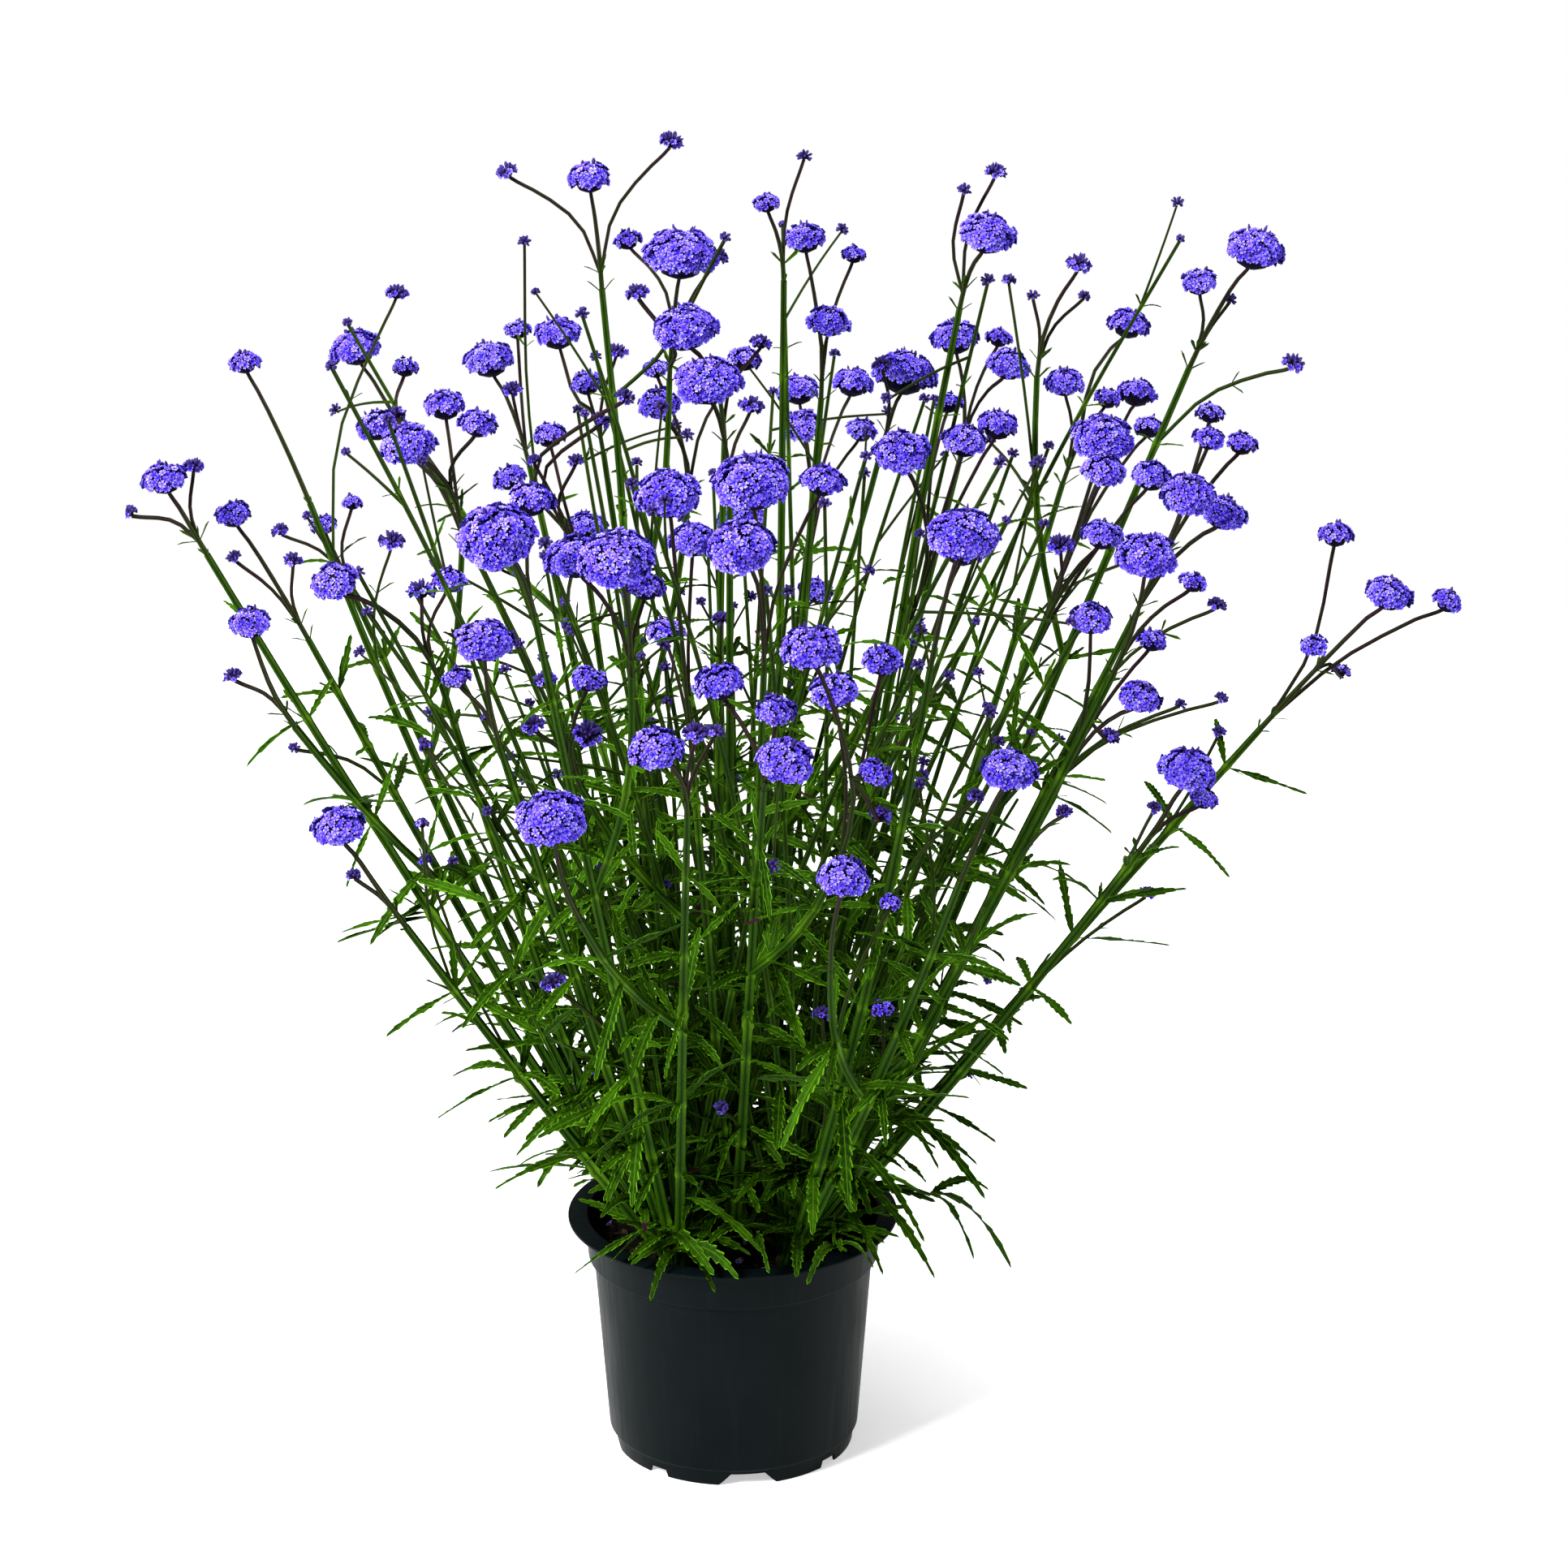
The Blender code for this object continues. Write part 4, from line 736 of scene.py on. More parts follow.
# A head at each stage: the radius of its core, where its buds stand and how far they reach, as shares of
# its own radius, then the share of its dome that has no florets, how far down the dome the buds go, in
# degrees, and their tone.
FORMS = {
    OPEN: (0.62, 0.62, 1.0, 0.0, 26, 0.6),
    HALF: (0.42, 0.32, 0.94, 0.36, 88, 0.6),
    BUD: (0.42, 0.32, 0.94, 0.36, 124, 0.0),
}

# Stems
RING_STEP = 26 * MM
JOINT_HALF = 3.5 * MM
JOINT_ROOM = 6 * MM
SWELL_REACH = 3 * MM
PALE_REACH = 4 * MM
STEM_SECTION = (1.0, 0.84, 0.62, 0.84)
STALK_SECTION = (1.0, 0.76)
STEM_FILL = 1.2
NODE_SWELL = 0.22
THICKET_STEMS = 4
THICKET_RADII = (1.7 * MM, 1.1 * MM)
THICKET_LEAN = (0.1, 0.62)
THICKET_LENGTHS = (120 * MM, 360 * MM)
THICKET_FIRST_JOINT = 34 * MM
THICKET_STEP = 50 * MM
TALL_TWIGS = 8
TWIG_HEIGHTS = (400 * MM, 690 * MM)
TWIG_LOW_REACH = 70 * MM
TWIG_SPREAD = 0.42
TWIG_SHARES = (0.03, 0.9)
TWIG_SWING = 0.7
TWIG_FIRST_JOINT = 60 * MM
TWIG_STEP = 64 * MM
TWIG_RADII = (2.5 * MM, 1.25 * MM)
FORK_RADII = (1.0 * MM, 0.8 * MM)
FORK_BELOW_END = (20, 130)
FORK_LENGTHS = (30, 90)
FORK_SWING = 0.85
FORK_LIFT = 8 * MM
TWIG_HEADS = (4.8, 8.6)

# Fine leaves. A leaf at a joint is so many mm long and loses so many between two heights: where the
# loss begins, and over what rise. Teeth are counted on each side.
JOINT_LEAF = (52, 39)
JOINT_LEAF_HEIGHTS = (0.34, 0.26)
JOINT_SPLAY = (0.8, 1.5)
JOINT_SIZES = (0.7, 1.12)
JOINT_DROOP = (0.0, 0.36)
JOINT_WIDTH = 0.135
YOUNG_BELOW = 0.8
YOUNG_SIZES = (0.25, 0.6)
YOUNG_DROOP = (-0.1, 0.25)
YOUNG_WIDTH = 0.18
BRACT_LENGTHS = (7, 12)
BRACT_DROOP = (0, 0.2)
BRACT_WIDTH = 0.2
LOOSE_LEAVES = 3
LOOSE_SPOTS = (14, 190)
LOOSE_LENGTHS = (33, 58)
LOOSE_DROOP = (0.1, 0.6)
LOOSE_WIDTH = 0.13
LARGE_WIDTH = 0.78
FINE_RIM_CLEARANCE = 5 * MM
FINE_WALL_CLEARANCE = 7 * MM
FINE_SOIL_CLEARANCE = 4 * MM
LARGE_TEETH = 11
MIDDLE_TEETH = 8
SMALL_TEETH = 5
TOOTH_IN = (0.68, 0.8)
TOOTH_OUT = (1.02, 1.2)
TOOTH_LEAN = 0.1
LEAF_SHEET = 0.35 * MM
LEAF_FOLD = (0.05, 0.4)
LEAF_WAVE = 0.22
QUILT = (0.24, -0.02)
RED_TIP = 0.8
TIP_FROM = 0.8

# Camera, from the photo's frame, and lamps as (name, place, size, power)
PHOTO_SIDE = 1932
FOCAL_PIXELS = 5322
SENSOR_WIDTH = 36
CAMERA_PLACE = (0, -2.3, 1.128)
CAMERA_TURN = (math.radians(90 - 17.6), 0, math.radians(-0.733))
AIM = (0, 0, 0.4)
LAMPS = (
    ("key", (-1.8, -1.5, 2.0), 0.9, 165), ("fill", (1.9, -1.6, 1.1), 1.4, 3),
    ("top", (0.1, -0.1, 2.4), 1.6, 60),
)
LIGHT_AROUND = 0.24
FLOOR_RADIUS = 2.0
FLOOR_SIDES = 64

# Shoots that lean to the pot's rim: the place of the fork, then the tips of its leaves, in millimetres
RIM_SHOOTS = (
    ((-33, -71, 146), ((-46, -104, 131), (-10, -102, 135), (3, -100, 142))),
    ((57, -66, 146), ((41, -101, 139), (78, -92, 145), (60, -90, 154))),
    ((113, -15, 156), ((137, -40, 127), (159, -30, 117), (146, -20, 161))),
    ((-77, 0, 183), ((-111, -30, 168), (-114, 14, 188))),
    ((-52, -50, 167), ((-90, -50, 177), (-74, -76, 169))),
    ((12, -62, 150), ((20, -101, 146), (-14, -88, 158))),
)
RIM_ARCH = 0.22
RIM_WIDTH = 0.17
RIM_TUFT = (12, 24)

# A bloom's materials, in their order on its mesh
STALK_LOOK, PETAL_LOOK, PAINTED_SHADE_TUBE_LOOK, BUD_LOOK, CALYX_LOOK, PAINTED_SHADE_CORE_LOOK, LEAF_LOOK = range(7)


class Sheaf:
    """Collects points, faces, materials and a tint for each point, and makes one mesh object of them."""

    def __init__(self):
        self.points, self.faces, self.looks, self.tints = [], [], [], []
        self.count = 0

    def add_points(self, points, tint):
        self.points.append(np.asarray(points, float))
        self.tints.append(np.broadcast_to(tint, (len(points), 3)))
        self.count += len(points)

    def add_faces(self, faces, look, base):
        """Adds faces whose numbers count from a base."""
        self.faces.append(np.asarray(faces, int) + base)
        self.looks.append(np.full(len(faces), look))

    def add(self, points, faces, look, tint):
        for face_set in faces:
            self.add_faces(face_set, look, self.count)
        self.add_points(points, tint)

    def make(self, name, materials, nodes, slot, sharp=50):
        mesh = bpy.data.meshes.new(name)
        points = np.clip(np.concatenate(self.points), CAD_LOW, CAD_HIGH)
        mesh.vertices.add(len(points))
        mesh.vertices.foreach_set("co", points.ravel())
        corners = np.concatenate([faces.ravel() for faces in self.faces])
        sizes = np.concatenate([np.full(len(faces), faces.shape[1]) for faces in self.faces])
        mesh.loops.add(len(corners))
        mesh.loops.foreach_set("vertex_index", corners)
        mesh.polygons.add(len(sizes))
        mesh.polygons.foreach_set("loop_start", np.concatenate([[0], np.cumsum(sizes)[:-1]]))
        mesh.polygons.foreach_set("material_index", np.concatenate(self.looks))
        mesh.update(calc_edges=True)
        mesh.validate()
        tint = mesh.attributes.new("tint", "FLOAT_COLOR", "POINT")
        colours = np.ones((len(points), 4))
        colours[:, :3] = np.concatenate(self.tints)
        tint.data.foreach_set("color", colours.ravel())
        place_piece(bpy.data.objects.new(name, mesh), materials, nodes, sharp)


def place_piece(piece, materials, nodes, sharp=None):
    """Finishes and links a piece, gives it its materials, hangs it on the body it rides on and hides the
    parts it stands for.
    """
    piece.data.shade_smooth()
    if sharp is not None:
        piece.data.set_sharp_from_angle(angle=math.radians(sharp))
    for material in materials:
        piece.data.materials.append(material)
    if piece.name not in bpy.context.scene.collection.objects:
        bpy.context.scene.collection.objects.link(piece)
    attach(piece, BODY)
    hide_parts(*nodes)


def turned_out(points, faces):
    """The same triangles with every face turned outwards."""
    bm = bmesh.new()
    verts = [bm.verts.new(point) for point in points]
    made = [bm.faces.new([verts[k] for k in face]) for face in faces]
    bmesh.ops.recalc_face_normals(bm, faces=made)
    bm.verts.index_update()
    found = [[vert.index for vert in face.verts] for face in bm.faces]
    bm.free()
    return np.array(points, float), np.array(found)


def at_turn(radius, turn, height):
    """The point at a distance from the axis, a turn in radians and a height."""
    return (radius * math.cos(turn), radius * math.sin(turn), height)


def polar(radius, degrees, height):
    return at_turn(radius, math.radians(degrees), height)


def floret_template():
    """A flower of unit radius: five notched lobes round a sunken throat, closed below by a slender trumpet.

    The trumpet's foot is its last point. Tones run from the throat to the tips.
    """
    step = 360 // LOBES
    spots = [(0, 0, *THROAT)]
    spots += [(CLEFT_RADIUS, step * k - step // 2, *CLEFT) for k in range(LOBES)]
    spots += [(r, step * k + degrees, *rest) for k in range(LOBES) for r, degrees, *rest in LOBE_STATIONS]
    spots.append((0, 0, *FOOT))
    faces = []
    for k in range(LOBES):
        first = 1 + LOBES + k * len(LOBE_STATIONS)
        rim = [1 + k, *range(first, first + len(LOBE_STATIONS)), 1 + (k + 1) % LOBES]
        faces += [(0, a, b) for a, b in zip(rim, rim[1:])]
    faces += [(len(spots) - 1, b, a) for _, a, b in faces]
    points, faces = turned_out([polar(*spot[:3]) for spot in spots], faces)
    return points, faces, np.array([tone for *_, tone in spots])


def club_template(rings, sides):
    """A closed club along +Z from (height, radius) rings. Each point's tone is its height."""
    points = [polar(radius, 360 * k / sides, height) for height, radius in rings for k in range(sides)]
    faces = [tuple(range(sides)), tuple(range(len(points) - sides, len(points)))]
    for low in range(0, len(points) - sides, sides):
        for k in range(sides):
            n = (k + 1) % sides
            faces.append((low + k, low + n, low + sides + n, low + sides + k))
    split = []
    for face in faces:
        split += [(face[0], face[i], face[i + 1]) for i in range(1, len(face) - 1)]
    points, faces = turned_out(points, split)
    return points, faces, points[:, 2].copy()


def lump_template(step):
    """A rough round lump of unit radius."""
    bm = bmesh.new()
    bmesh.ops.create_icosphere(bm, subdivisions=step, radius=1)
    rng = np.random.default_rng(SEED)
    bm.verts.index_update()
    points = np.array([vert.co for vert in bm.verts])
    faces = np.array([[vert.index for vert in face.verts] for face in bm.faces])
    bm.free()
    points *= rng.uniform(0.72, 1.1, (len(points), 1))
    return points, faces, points[:, 2].copy()


def frames_for(axes, turns):
    """Rotation matrices that turn +Z to each axis, with a spin round it."""
    reference = np.where(np.abs(axes[:, :1]) < 0.8, [[1.0, 0, 0]], [[0, 1.0, 0]])
    x = np.cross(axes, reference)
    x /= np.linalg.norm(x, axis=1)[:, None]
    y = np.cross(axes, x)
    c, s = np.cos(turns)[:, None], np.sin(turns)[:, None]
    return np.stack([c * x + s * y, c * y - s * x, axes], axis=2)


def stamp(sheaf, template, places, frames, scales, look, tints):
    """Adds a copy of the template at each place. scales are (across, across, along) for each copy."""
    points, faces, tones = template
    count, size = len(places), len(points)
    moved = np.einsum("nij,nmj->nmi", frames, points[None] * scales[:, None, :]) + places[:, None, :]
    every = (faces[None] + (np.arange(count) * size)[:, None, None]).reshape(-1, 3)
    tint = np.empty((count, size, 3))
    tint[:, :, 0] = tones[None]
    tint[:, :, 1:] = tints[:, None, :]
    sheaf.add(moved.reshape(-1, 3), [every], look, tint.reshape(-1, 3))


FLORET = floret_template()
BUD_CLUB = club_template(((0.0, 0.18), (0.74, 0.3), (1.0, 0.1)), 4)
CALYX = club_template(((0.0, 0.18), (1.0, 0.34)), 3)
CORE = club_template(((-1.0, 0.25), (-0.75, 0.75), (-0.1, 1.0), (0.5, 0.86), (0.9, 0.4), (1.0, 0.1)), 9)
LUMP = lump_template(1)
KNOB = lump_template(2)


def spiral(count, low_degrees, start=0.0):
    """Directions over a dome from its top down to an angle. start skips a share at the top."""
    i = np.arange(count) + 0.5
    z = 1 - (1 - math.cos(math.radians(low_degrees))) * (start + (1 - start) * i / count)
    turn = i * GOLDEN_TURN
    ring = np.sqrt(np.maximum(1 - z * z, 0))
    return np.stack([ring * np.cos(turn), ring * np.sin(turn), z], axis=1)


def splayed(out, squash, turn, scatter, rng):
    """Directions square to a squashed dome, a little scattered."""
    normals = out / squash
    normals /= np.linalg.norm(normals, axis=1)[:, None]
    axes = (normals + scatter * rng.standard_normal(normals.shape)) @ turn.T
    return axes / np.linalg.norm(axes, axis=1)[:, None]


def counts(stage, size):
    """How many florets and how many buds a head has, from its stage and its size in millimetres."""
    if stage == OPEN:
        share, buds = 1.0, int(size / 8)
    elif stage == HALF:
        share, buds = 0.5 if size > 12 else 0.32, 16 + int(size / 2)
    else:
        share, buds = 0.0, (18 if size > 9 else 10) + int(size / 2)
    return int(round(share * max(FLORETS_PER_MM2 * size * size, FEWEST_FLORETS))), buds


def bloom(sheaf, head, rng):
    """One domed head: a core for its packed middle in painted shade, calyces and tubes, and the florets or
    buds over them.
    """
    radius, stage = head["across"] / 2, head["stage"]
    core_share, foot_share, top_share, bare, dome, tone = FORMS[stage]
    opened, buds = counts(stage, head["across"] / MM)
    turn = frames_for(head["upright"][None], np.array([rng.uniform(0, math.tau)]))[0]
    squash = np.array([1, 1, FINE_RISE])
    core = radius * core_share
    stamp(sheaf, CORE, head["centre"][None], turn[None], core * squash[None], PAINTED_SHADE_CORE_LOOK,
          np.array([[rng.random(), 0]]))
    if opened:
        out = spiral(opened, LOWEST_FLORET, bare)
        place_florets(sheaf, head, out, radius, turn, squash, core, rng)
    out = spiral(buds, dome)
    axes = splayed(out, squash, turn, BUD_SCATTER, rng)
    reach = radius * foot_share
    scale = np.ones((buds, 3)) * (radius * top_share - reach + BUD_MARGIN)
    scale[:, :2] = BUD_ACROSS * rng.uniform(*BUD_WIDTHS, (buds, 1))
    scale[:, 2] *= rng.uniform(*BUD_LENGTHS, buds)
    frames = frames_for(axes, rng.uniform(0, math.tau, buds))
    tints = np.stack([rng.random(buds), np.full(buds, tone)], axis=1)
    stamp(sheaf, BUD_CLUB, head["centre"] + (out * squash * reach) @ turn.T, frames, scale, BUD_LOOK, tints)


def place_florets(sheaf, head, out, radius, turn, squash, core, rng):
    """Open florets on the dome, with their tubes, and a calyx under each of the lower ones."""
    count = len(out)
    axes = splayed(out, squash ** 1.3, turn, FLORET_SCATTER, rng)
    reach = radius * rng.uniform(*FLORET_REACH, (count, 1))
    lumps = spiral(3 + int(radius / LUMP_SPAN), LUMP_RING)
    crease = np.clip((CREASE_FROM - (out @ lumps.T).max(axis=1)) / CREASE_EASE, 0, 1)
    reach = reach * (1 - CREASE * crease[:, None])
    places = head["centre"] + (out * squash * reach) @ turn.T
    small = min(1.0, 0.72 + radius / (60 * MM))
    across = FLORET_RADIUS * small * rng.uniform(*FLORET_SPREAD, count)
    length = np.maximum(np.linalg.norm(out * squash, axis=1) * reach[:, 0] - core * 0.85, FLORET_RADIUS)
    points, faces, tones = FLORET
    shape = np.repeat(points[None], count, axis=0)
    shape[:, :, 2] *= rng.uniform(*FLORET_CUP, (count, 1))
    shape[:, 1:-1] += rng.normal(0, FLORET_RAG, (count, len(points) - 2, 3))
    shape *= across[:, None, None]
    shape[:, -1, 2] = -length
    frames = frames_for(axes, rng.uniform(0, math.tau, count))
    moved = np.einsum("nij,nmj->nmi", frames, shape) + places[:, None, :]
    tint = np.empty((count, len(points), 3))
    tint[:, :, 0] = tones[None]
    tint[:, :, 1] = rng.random((count, 1))
    tint[:, :, 2] = np.clip(out[:, 2:3] * 0.5 + 0.5, 0, 1)
    steps = (np.arange(count) * len(points))[:, None, None]
    half = len(faces) // 2
    # The upper faces are the petals. The lower ones, the trumpet, take a near-black material: painted shade
    # for the gaps between florets.
    for part, look in ((faces[:half], PETAL_LOOK), (faces[half:], PAINTED_SHADE_TUBE_LOOK)):
        sheaf.add_faces((part[None] + steps).reshape(-1, 3), look, sheaf.count)
    sheaf.add_points(moved.reshape(-1, 3), tint.reshape(-1, 3))
    low = out[:, 2] < 0.1
    feet = places[low] - axes[low] * (length[low] + 0.6 * MM)[:, None]
    scale = CALYX_SIZE * np.ones((low.sum(), 1))
    tints = np.stack([rng.random(low.sum()), np.zeros(low.sum())], axis=1)
    stamp(sheaf, CALYX, feet, frames[low], scale, CALYX_LOOK, tints)


def smooth_line(points, shares):
    """Points of a Catmull-Rom curve through the given points, at positions counted in segments."""
    ghost = np.concatenate([[2 * points[0] - points[1]], points, [2 * points[-1] - points[-2]]])
    shares = np.clip(np.asarray(shares, float), 0, len(points) - 1)
    i = np.minimum(shares.astype(int), len(points) - 2)
    t = (shares - i)[:, None]
    a, b, c, d = ghost[i], ghost[i + 1], ghost[i + 2], ghost[i + 3]
    square, cube = (2 * a - 5 * b + 4 * c - d) * t ** 2, (3 * b - a - 3 * c + d) * t ** 3
    return 0.5 * (2 * b + (c - a) * t + square + cube)


def spots_on(line, stops):
    """Points of the smooth line at distances along it."""
    points = line["points"]
    ends = np.concatenate([[0], np.cumsum(np.linalg.norm(np.diff(points, axis=0), axis=1))])
    return smooth_line(points, np.interp(stops, ends, np.arange(len(points))))


def place_on(line, distance):
    """The point and the direction of a smooth line at a distance along it."""
    near = spots_on(line, [distance - MM, distance, distance + MM])
    return near[1], unit(near[2] - near[0])


def tube(sheaf, path, radii, section, look, tints, facing=None):
    """A closed ridged tube along a path. tints gives two values for each ring; the first is 1 on a ridge."""
    sides = 4 * len(section)
    last = len(path) - 1
    reach = np.array([section[k % len(section)] for k in range(sides)])
    turns = math.tau / 8 + math.tau * np.arange(sides) / sides
    ridge = (reach - min(section)) / (1 - min(section))
    points, colours = [], []
    across = None
    for i, point in enumerate(path):
        way = unit(path[min(i + 1, last)] - path[max(i - 1, 0)])
        if i == 0 and facing is not None:
            way = facing
        if across is None:
            across, other = frame_at(way)
        else:
            across = unit(across - (across @ way) * way)
            other = np.cross(way, across)
        round_it = np.cos(turns)[:, None] * across + np.sin(turns)[:, None] * other
        points.append(point + radii[i] * reach[:, None] * round_it)
        colours.append(np.column_stack([ridge, np.full((sides, 2), tints[i])]))
    ring = np.arange(sides)
    quads = [np.stack([i * sides + ring, i * sides + (ring + 1) % sides,
                       (i + 1) * sides + (ring + 1) % sides, (i + 1) * sides + ring], axis=1)
             for i in range(last)]
    ends = np.array([ring[::-1], last * sides + ring])
    sheaf.add(np.concatenate(points), [np.concatenate(quads), ends], look, np.concatenate(colours))


def joints_on(line):
    """Distances of the leaf joints along a stem or branch."""
    if line["kind"] not in WOODY:
        return []
    top = length_of(line["points"]) - JOINT_BELOW_END
    return [d for d in np.arange(LOWEST_JOINT - JOINT_STEP, top, JOINT_STEP) if d > 12 * MM]


def settle(lines, heads, leaves):
    """Moves side lines and leaves on to the smooth curves that carry them, and notes every joint.

    Each head faces more upwards than its stalk, and the stalk's end bends round to meet it.
    """
    for head in heads:
        head["upright"] = unit(0.45 * head["axis"] + UPRIGHT * UP)
        lines[head["line"]]["neck"] = head["centre"] - NECK_SHARE * head["across"] * head["upright"]
    for line in lines:
        if line["anchor"] is not None:
            parent, segment, share = line["anchor"]
            line["points"][0] = smooth_line(lines[parent]["points"], [segment + share])[0]
        if line["facing"] is not None:
            line["points"][0] = line["points"][0] - 1.5 * MM * line["facing"]
        line["joints"] = joints_on(line)
    for leaf in leaves:
        best = None
        for line in lines:
            if line["node"] != leaf["node"] or line["kind"] not in WOODY:
                continue
            stops = np.arange(0, length_of(line["points"]), 2 * MM)
            spots = spots_on(line, stops)
            gaps = np.linalg.norm(spots - leaf["path"][0], axis=1)
            k = int(gaps.argmin())
            if best is None or gaps[k] < best[0]:
                best = (gaps[k], line, stops[k], spots[k])
        _, line, stop, spot = best
        leaf["path"] = leaf["path"] + (spot - leaf["path"][0])
        line["leafy"].append(stop)


def grow_fine_line(sheaf, line, look, low_tint, high_tint):
    """The ridged stem or stalk of a line."""
    total = length_of(line["points"])
    swellings = list(line["joints"]) + line["leafy"]
    stops = list(np.linspace(0, total, max(int(total / RING_STEP), 6) + 1))
    for joint in swellings:
        stops = [s for s in stops if abs(s - joint) > JOINT_ROOM or s in (0, total)]
    fill = STEM_FILL if line["kind"] in WOODY else 1.0
    for joint in swellings:
        stops += [joint - JOINT_HALF, joint, joint + JOINT_HALF]
    if "neck" in line:
        stops += [total - back for back in NECK_STOPS]
    stops = sorted(s for s in stops if 0 <= s < total - 0.5 * MM) + [total]
    stops = np.array([stops[0]] + [b for a, b in zip(stops, stops[1:]) if b - a > 0.3 * MM])
    radii = (line["low"] + (line["top"] - line["low"]) * stops / total) * fill
    for joint in swellings:
        radii = radii * (1 + NODE_SWELL * np.exp(-((stops - joint) / SWELL_REACH) ** 2))
    share = (stops / total)[:, None]
    tints = np.array(low_tint) * (1 - share) + np.array(high_tint) * share
    for joint in swellings:
        tints[:, 1] += np.exp(-((stops - joint) / PALE_REACH) ** 2)
    section = STEM_SECTION if line["kind"] == "stem" else STALK_SECTION
    path = spots_on(line, stops)
    if "neck" in line:
        late = np.clip((stops - total + NECK_BEND) / NECK_BEND, 0, 1)
        path = path + (late * late * (3 - 2 * late))[:, None] * (line["neck"] - path[-1])
    tube(sheaf, path, radii, section, look, tints, line["facing"])


def toothed(teeth, rng):
    """Stations along a leaf and how far its edge reaches there: in at each notch, out at each tooth."""
    s, reach = [0.0], [1.0]
    for k in range(teeth):
        s += [(k + 0.25) / (teeth + 0.4), (k + 1.0) / (teeth + 0.4)]
        reach += [rng.uniform(*TOOTH_IN), rng.uniform(*TOOTH_OUT)]
    return np.array(s + [1.0]), np.array(reach + [1.0])


def midrib(path, s):
    """Points and directions on the smooth curve through a leaf path's first, middle and last points."""
    root, middle, tip = path[0], path[2], path[4]
    bend, lead = 2 * root - 4 * middle + 2 * tip, -3 * root + 4 * middle - tip
    way = lead + 2 * s[:, None] * bend
    return root + s[:, None] * lead + (s ** 2)[:, None] * bend, way / np.linalg.norm(way, axis=1)[:, None]


def blade_faces(rows, columns):
    """Faces of a blade's upper side, of its lower side, which has one row of points, and of its ends."""
    row = np.arange(rows - 1)
    middle = columns * rows
    upper = [np.stack([a + row, a + rows + row, a + rows + row + 1, a + row + 1], axis=1)
             for a in range(0, middle - rows, rows)]
    lower = [np.stack([a + row, a + row + 1, b + row + 1, b + row], axis=1)
             for a, b in ((0, middle), (middle, middle - rows))]
    foot, tip = ([k * rows + r for k in range(columns + 1)] for r in (0, rows - 1))
    return np.concatenate(upper), np.concatenate(lower), np.array([foot[::-1], tip])


def blade(sheaf, path, side, width, teeth, columns, rng, tip_red=0.0, looks=(0, 1)):
    """A closed toothed leaf along a bent midrib: quilted between its side veins, with a wavy edge."""
    s, notch = toothed(teeth, rng)
    rows = len(s)
    centre, way = midrib(path, s)
    across = side - (way @ side)[:, None] * way
    across /= np.linalg.norm(across, axis=1)[:, None]
    normal = np.cross(across, way)
    under = normal[:, 2].mean() < 0
    normal = -normal if under else normal
    half = width / 2 * np.maximum(np.sin(math.pi * s ** 0.88) ** 0.52, 0.24 * (1 - s) + 0.03)
    fold = rng.uniform(*LEAF_FOLD)
    wave = LEAF_WAVE * np.sin(math.tau * (rng.uniform(1.2, 2.6) * s + rng.random()))
    quilt = np.where(np.arange(rows) % 2 == 0, *QUILT)
    tone = rng.random()
    top, tints = [], []
    for value in np.linspace(-1, 1, columns):
        edge = abs(value) > 0.99
        reach = half * value * (notch if edge else 1)
        lift = half * (fold * abs(value) + wave * value)
        if 0.01 < abs(value) < 0.99:
            lift = lift + half * quilt
        point = centre + reach[:, None] * across + lift[:, None] * normal
        if edge:
            point = point + (TOOTH_LEAN * width * (notch > 1))[:, None] * way
        top.append(point)
        tints.append(np.stack([np.full(rows, abs(value)), s, tone + tip_red * (s > TIP_FROM)], axis=1))
    middle = columns // 2
    bottom = top[middle] - LEAF_SHEET * normal
    for faces, look in zip(blade_faces(rows, columns), (looks[0], looks[1], looks[1])):
        sheaf.add_faces(faces[:, ::-1] if under else faces, look, sheaf.count)
    sheaf.add_points(np.concatenate(top + [bottom]), np.concatenate(tints + [tints[middle]]))


def clear_of_pot(path):
    """Whether a leaf's path keeps off the pot's rim and the soil."""
    reach = np.hypot(path[:, 0], path[:, 1])
    low = path[:, 2] < POT_HEIGHT + FINE_RIM_CLEARANCE
    inner, outer = BODY_TOP_RADIUS - FINE_WALL_CLEARANCE, LIP_RADIUS + FINE_RIM_CLEARANCE
    rim = low & (reach > inner) & (reach < outer)
    soil = (path[:, 2] < SOIL_TOP + FINE_SOIL_CLEARANCE) & (reach < LIP_RADIUS)
    return not (rim | soil).any()


def small_leaf(sheaf, root, out, length, droop, rng, share, looks=(0, 1)):
    """A leaf or bract from a root point, outwards and over. It is left out where the pot is in its way."""
    path = drooping(root, out, length, droop)
    if not clear_of_pot(path[1:]):
        return
    side = unit(np.cross(out, UP) + 0.4 * rng.standard_normal(3))
    red = RED_TIP if rng.random() < 0.05 else 0.0
    teeth, columns = 1, 3
    for least, *finer in ((13, 3, 3), (24, SMALL_TEETH, 3), (38, MIDDLE_TEETH, 5)):
        if length > least * MM:
            teeth, columns = finer
    blade(sheaf, path, side, length * share, teeth, columns, rng, red, looks)


def both_sides(line, distance, turn):
    """For each of two opposite sides of a line: the point, the heading and the direction outwards."""
    point, heading = place_on(line, distance)
    across, other = frame_at(heading)
    for sign in (1, -1):
        yield point, heading, sign * (math.cos(turn) * across + math.sin(turn) * other)


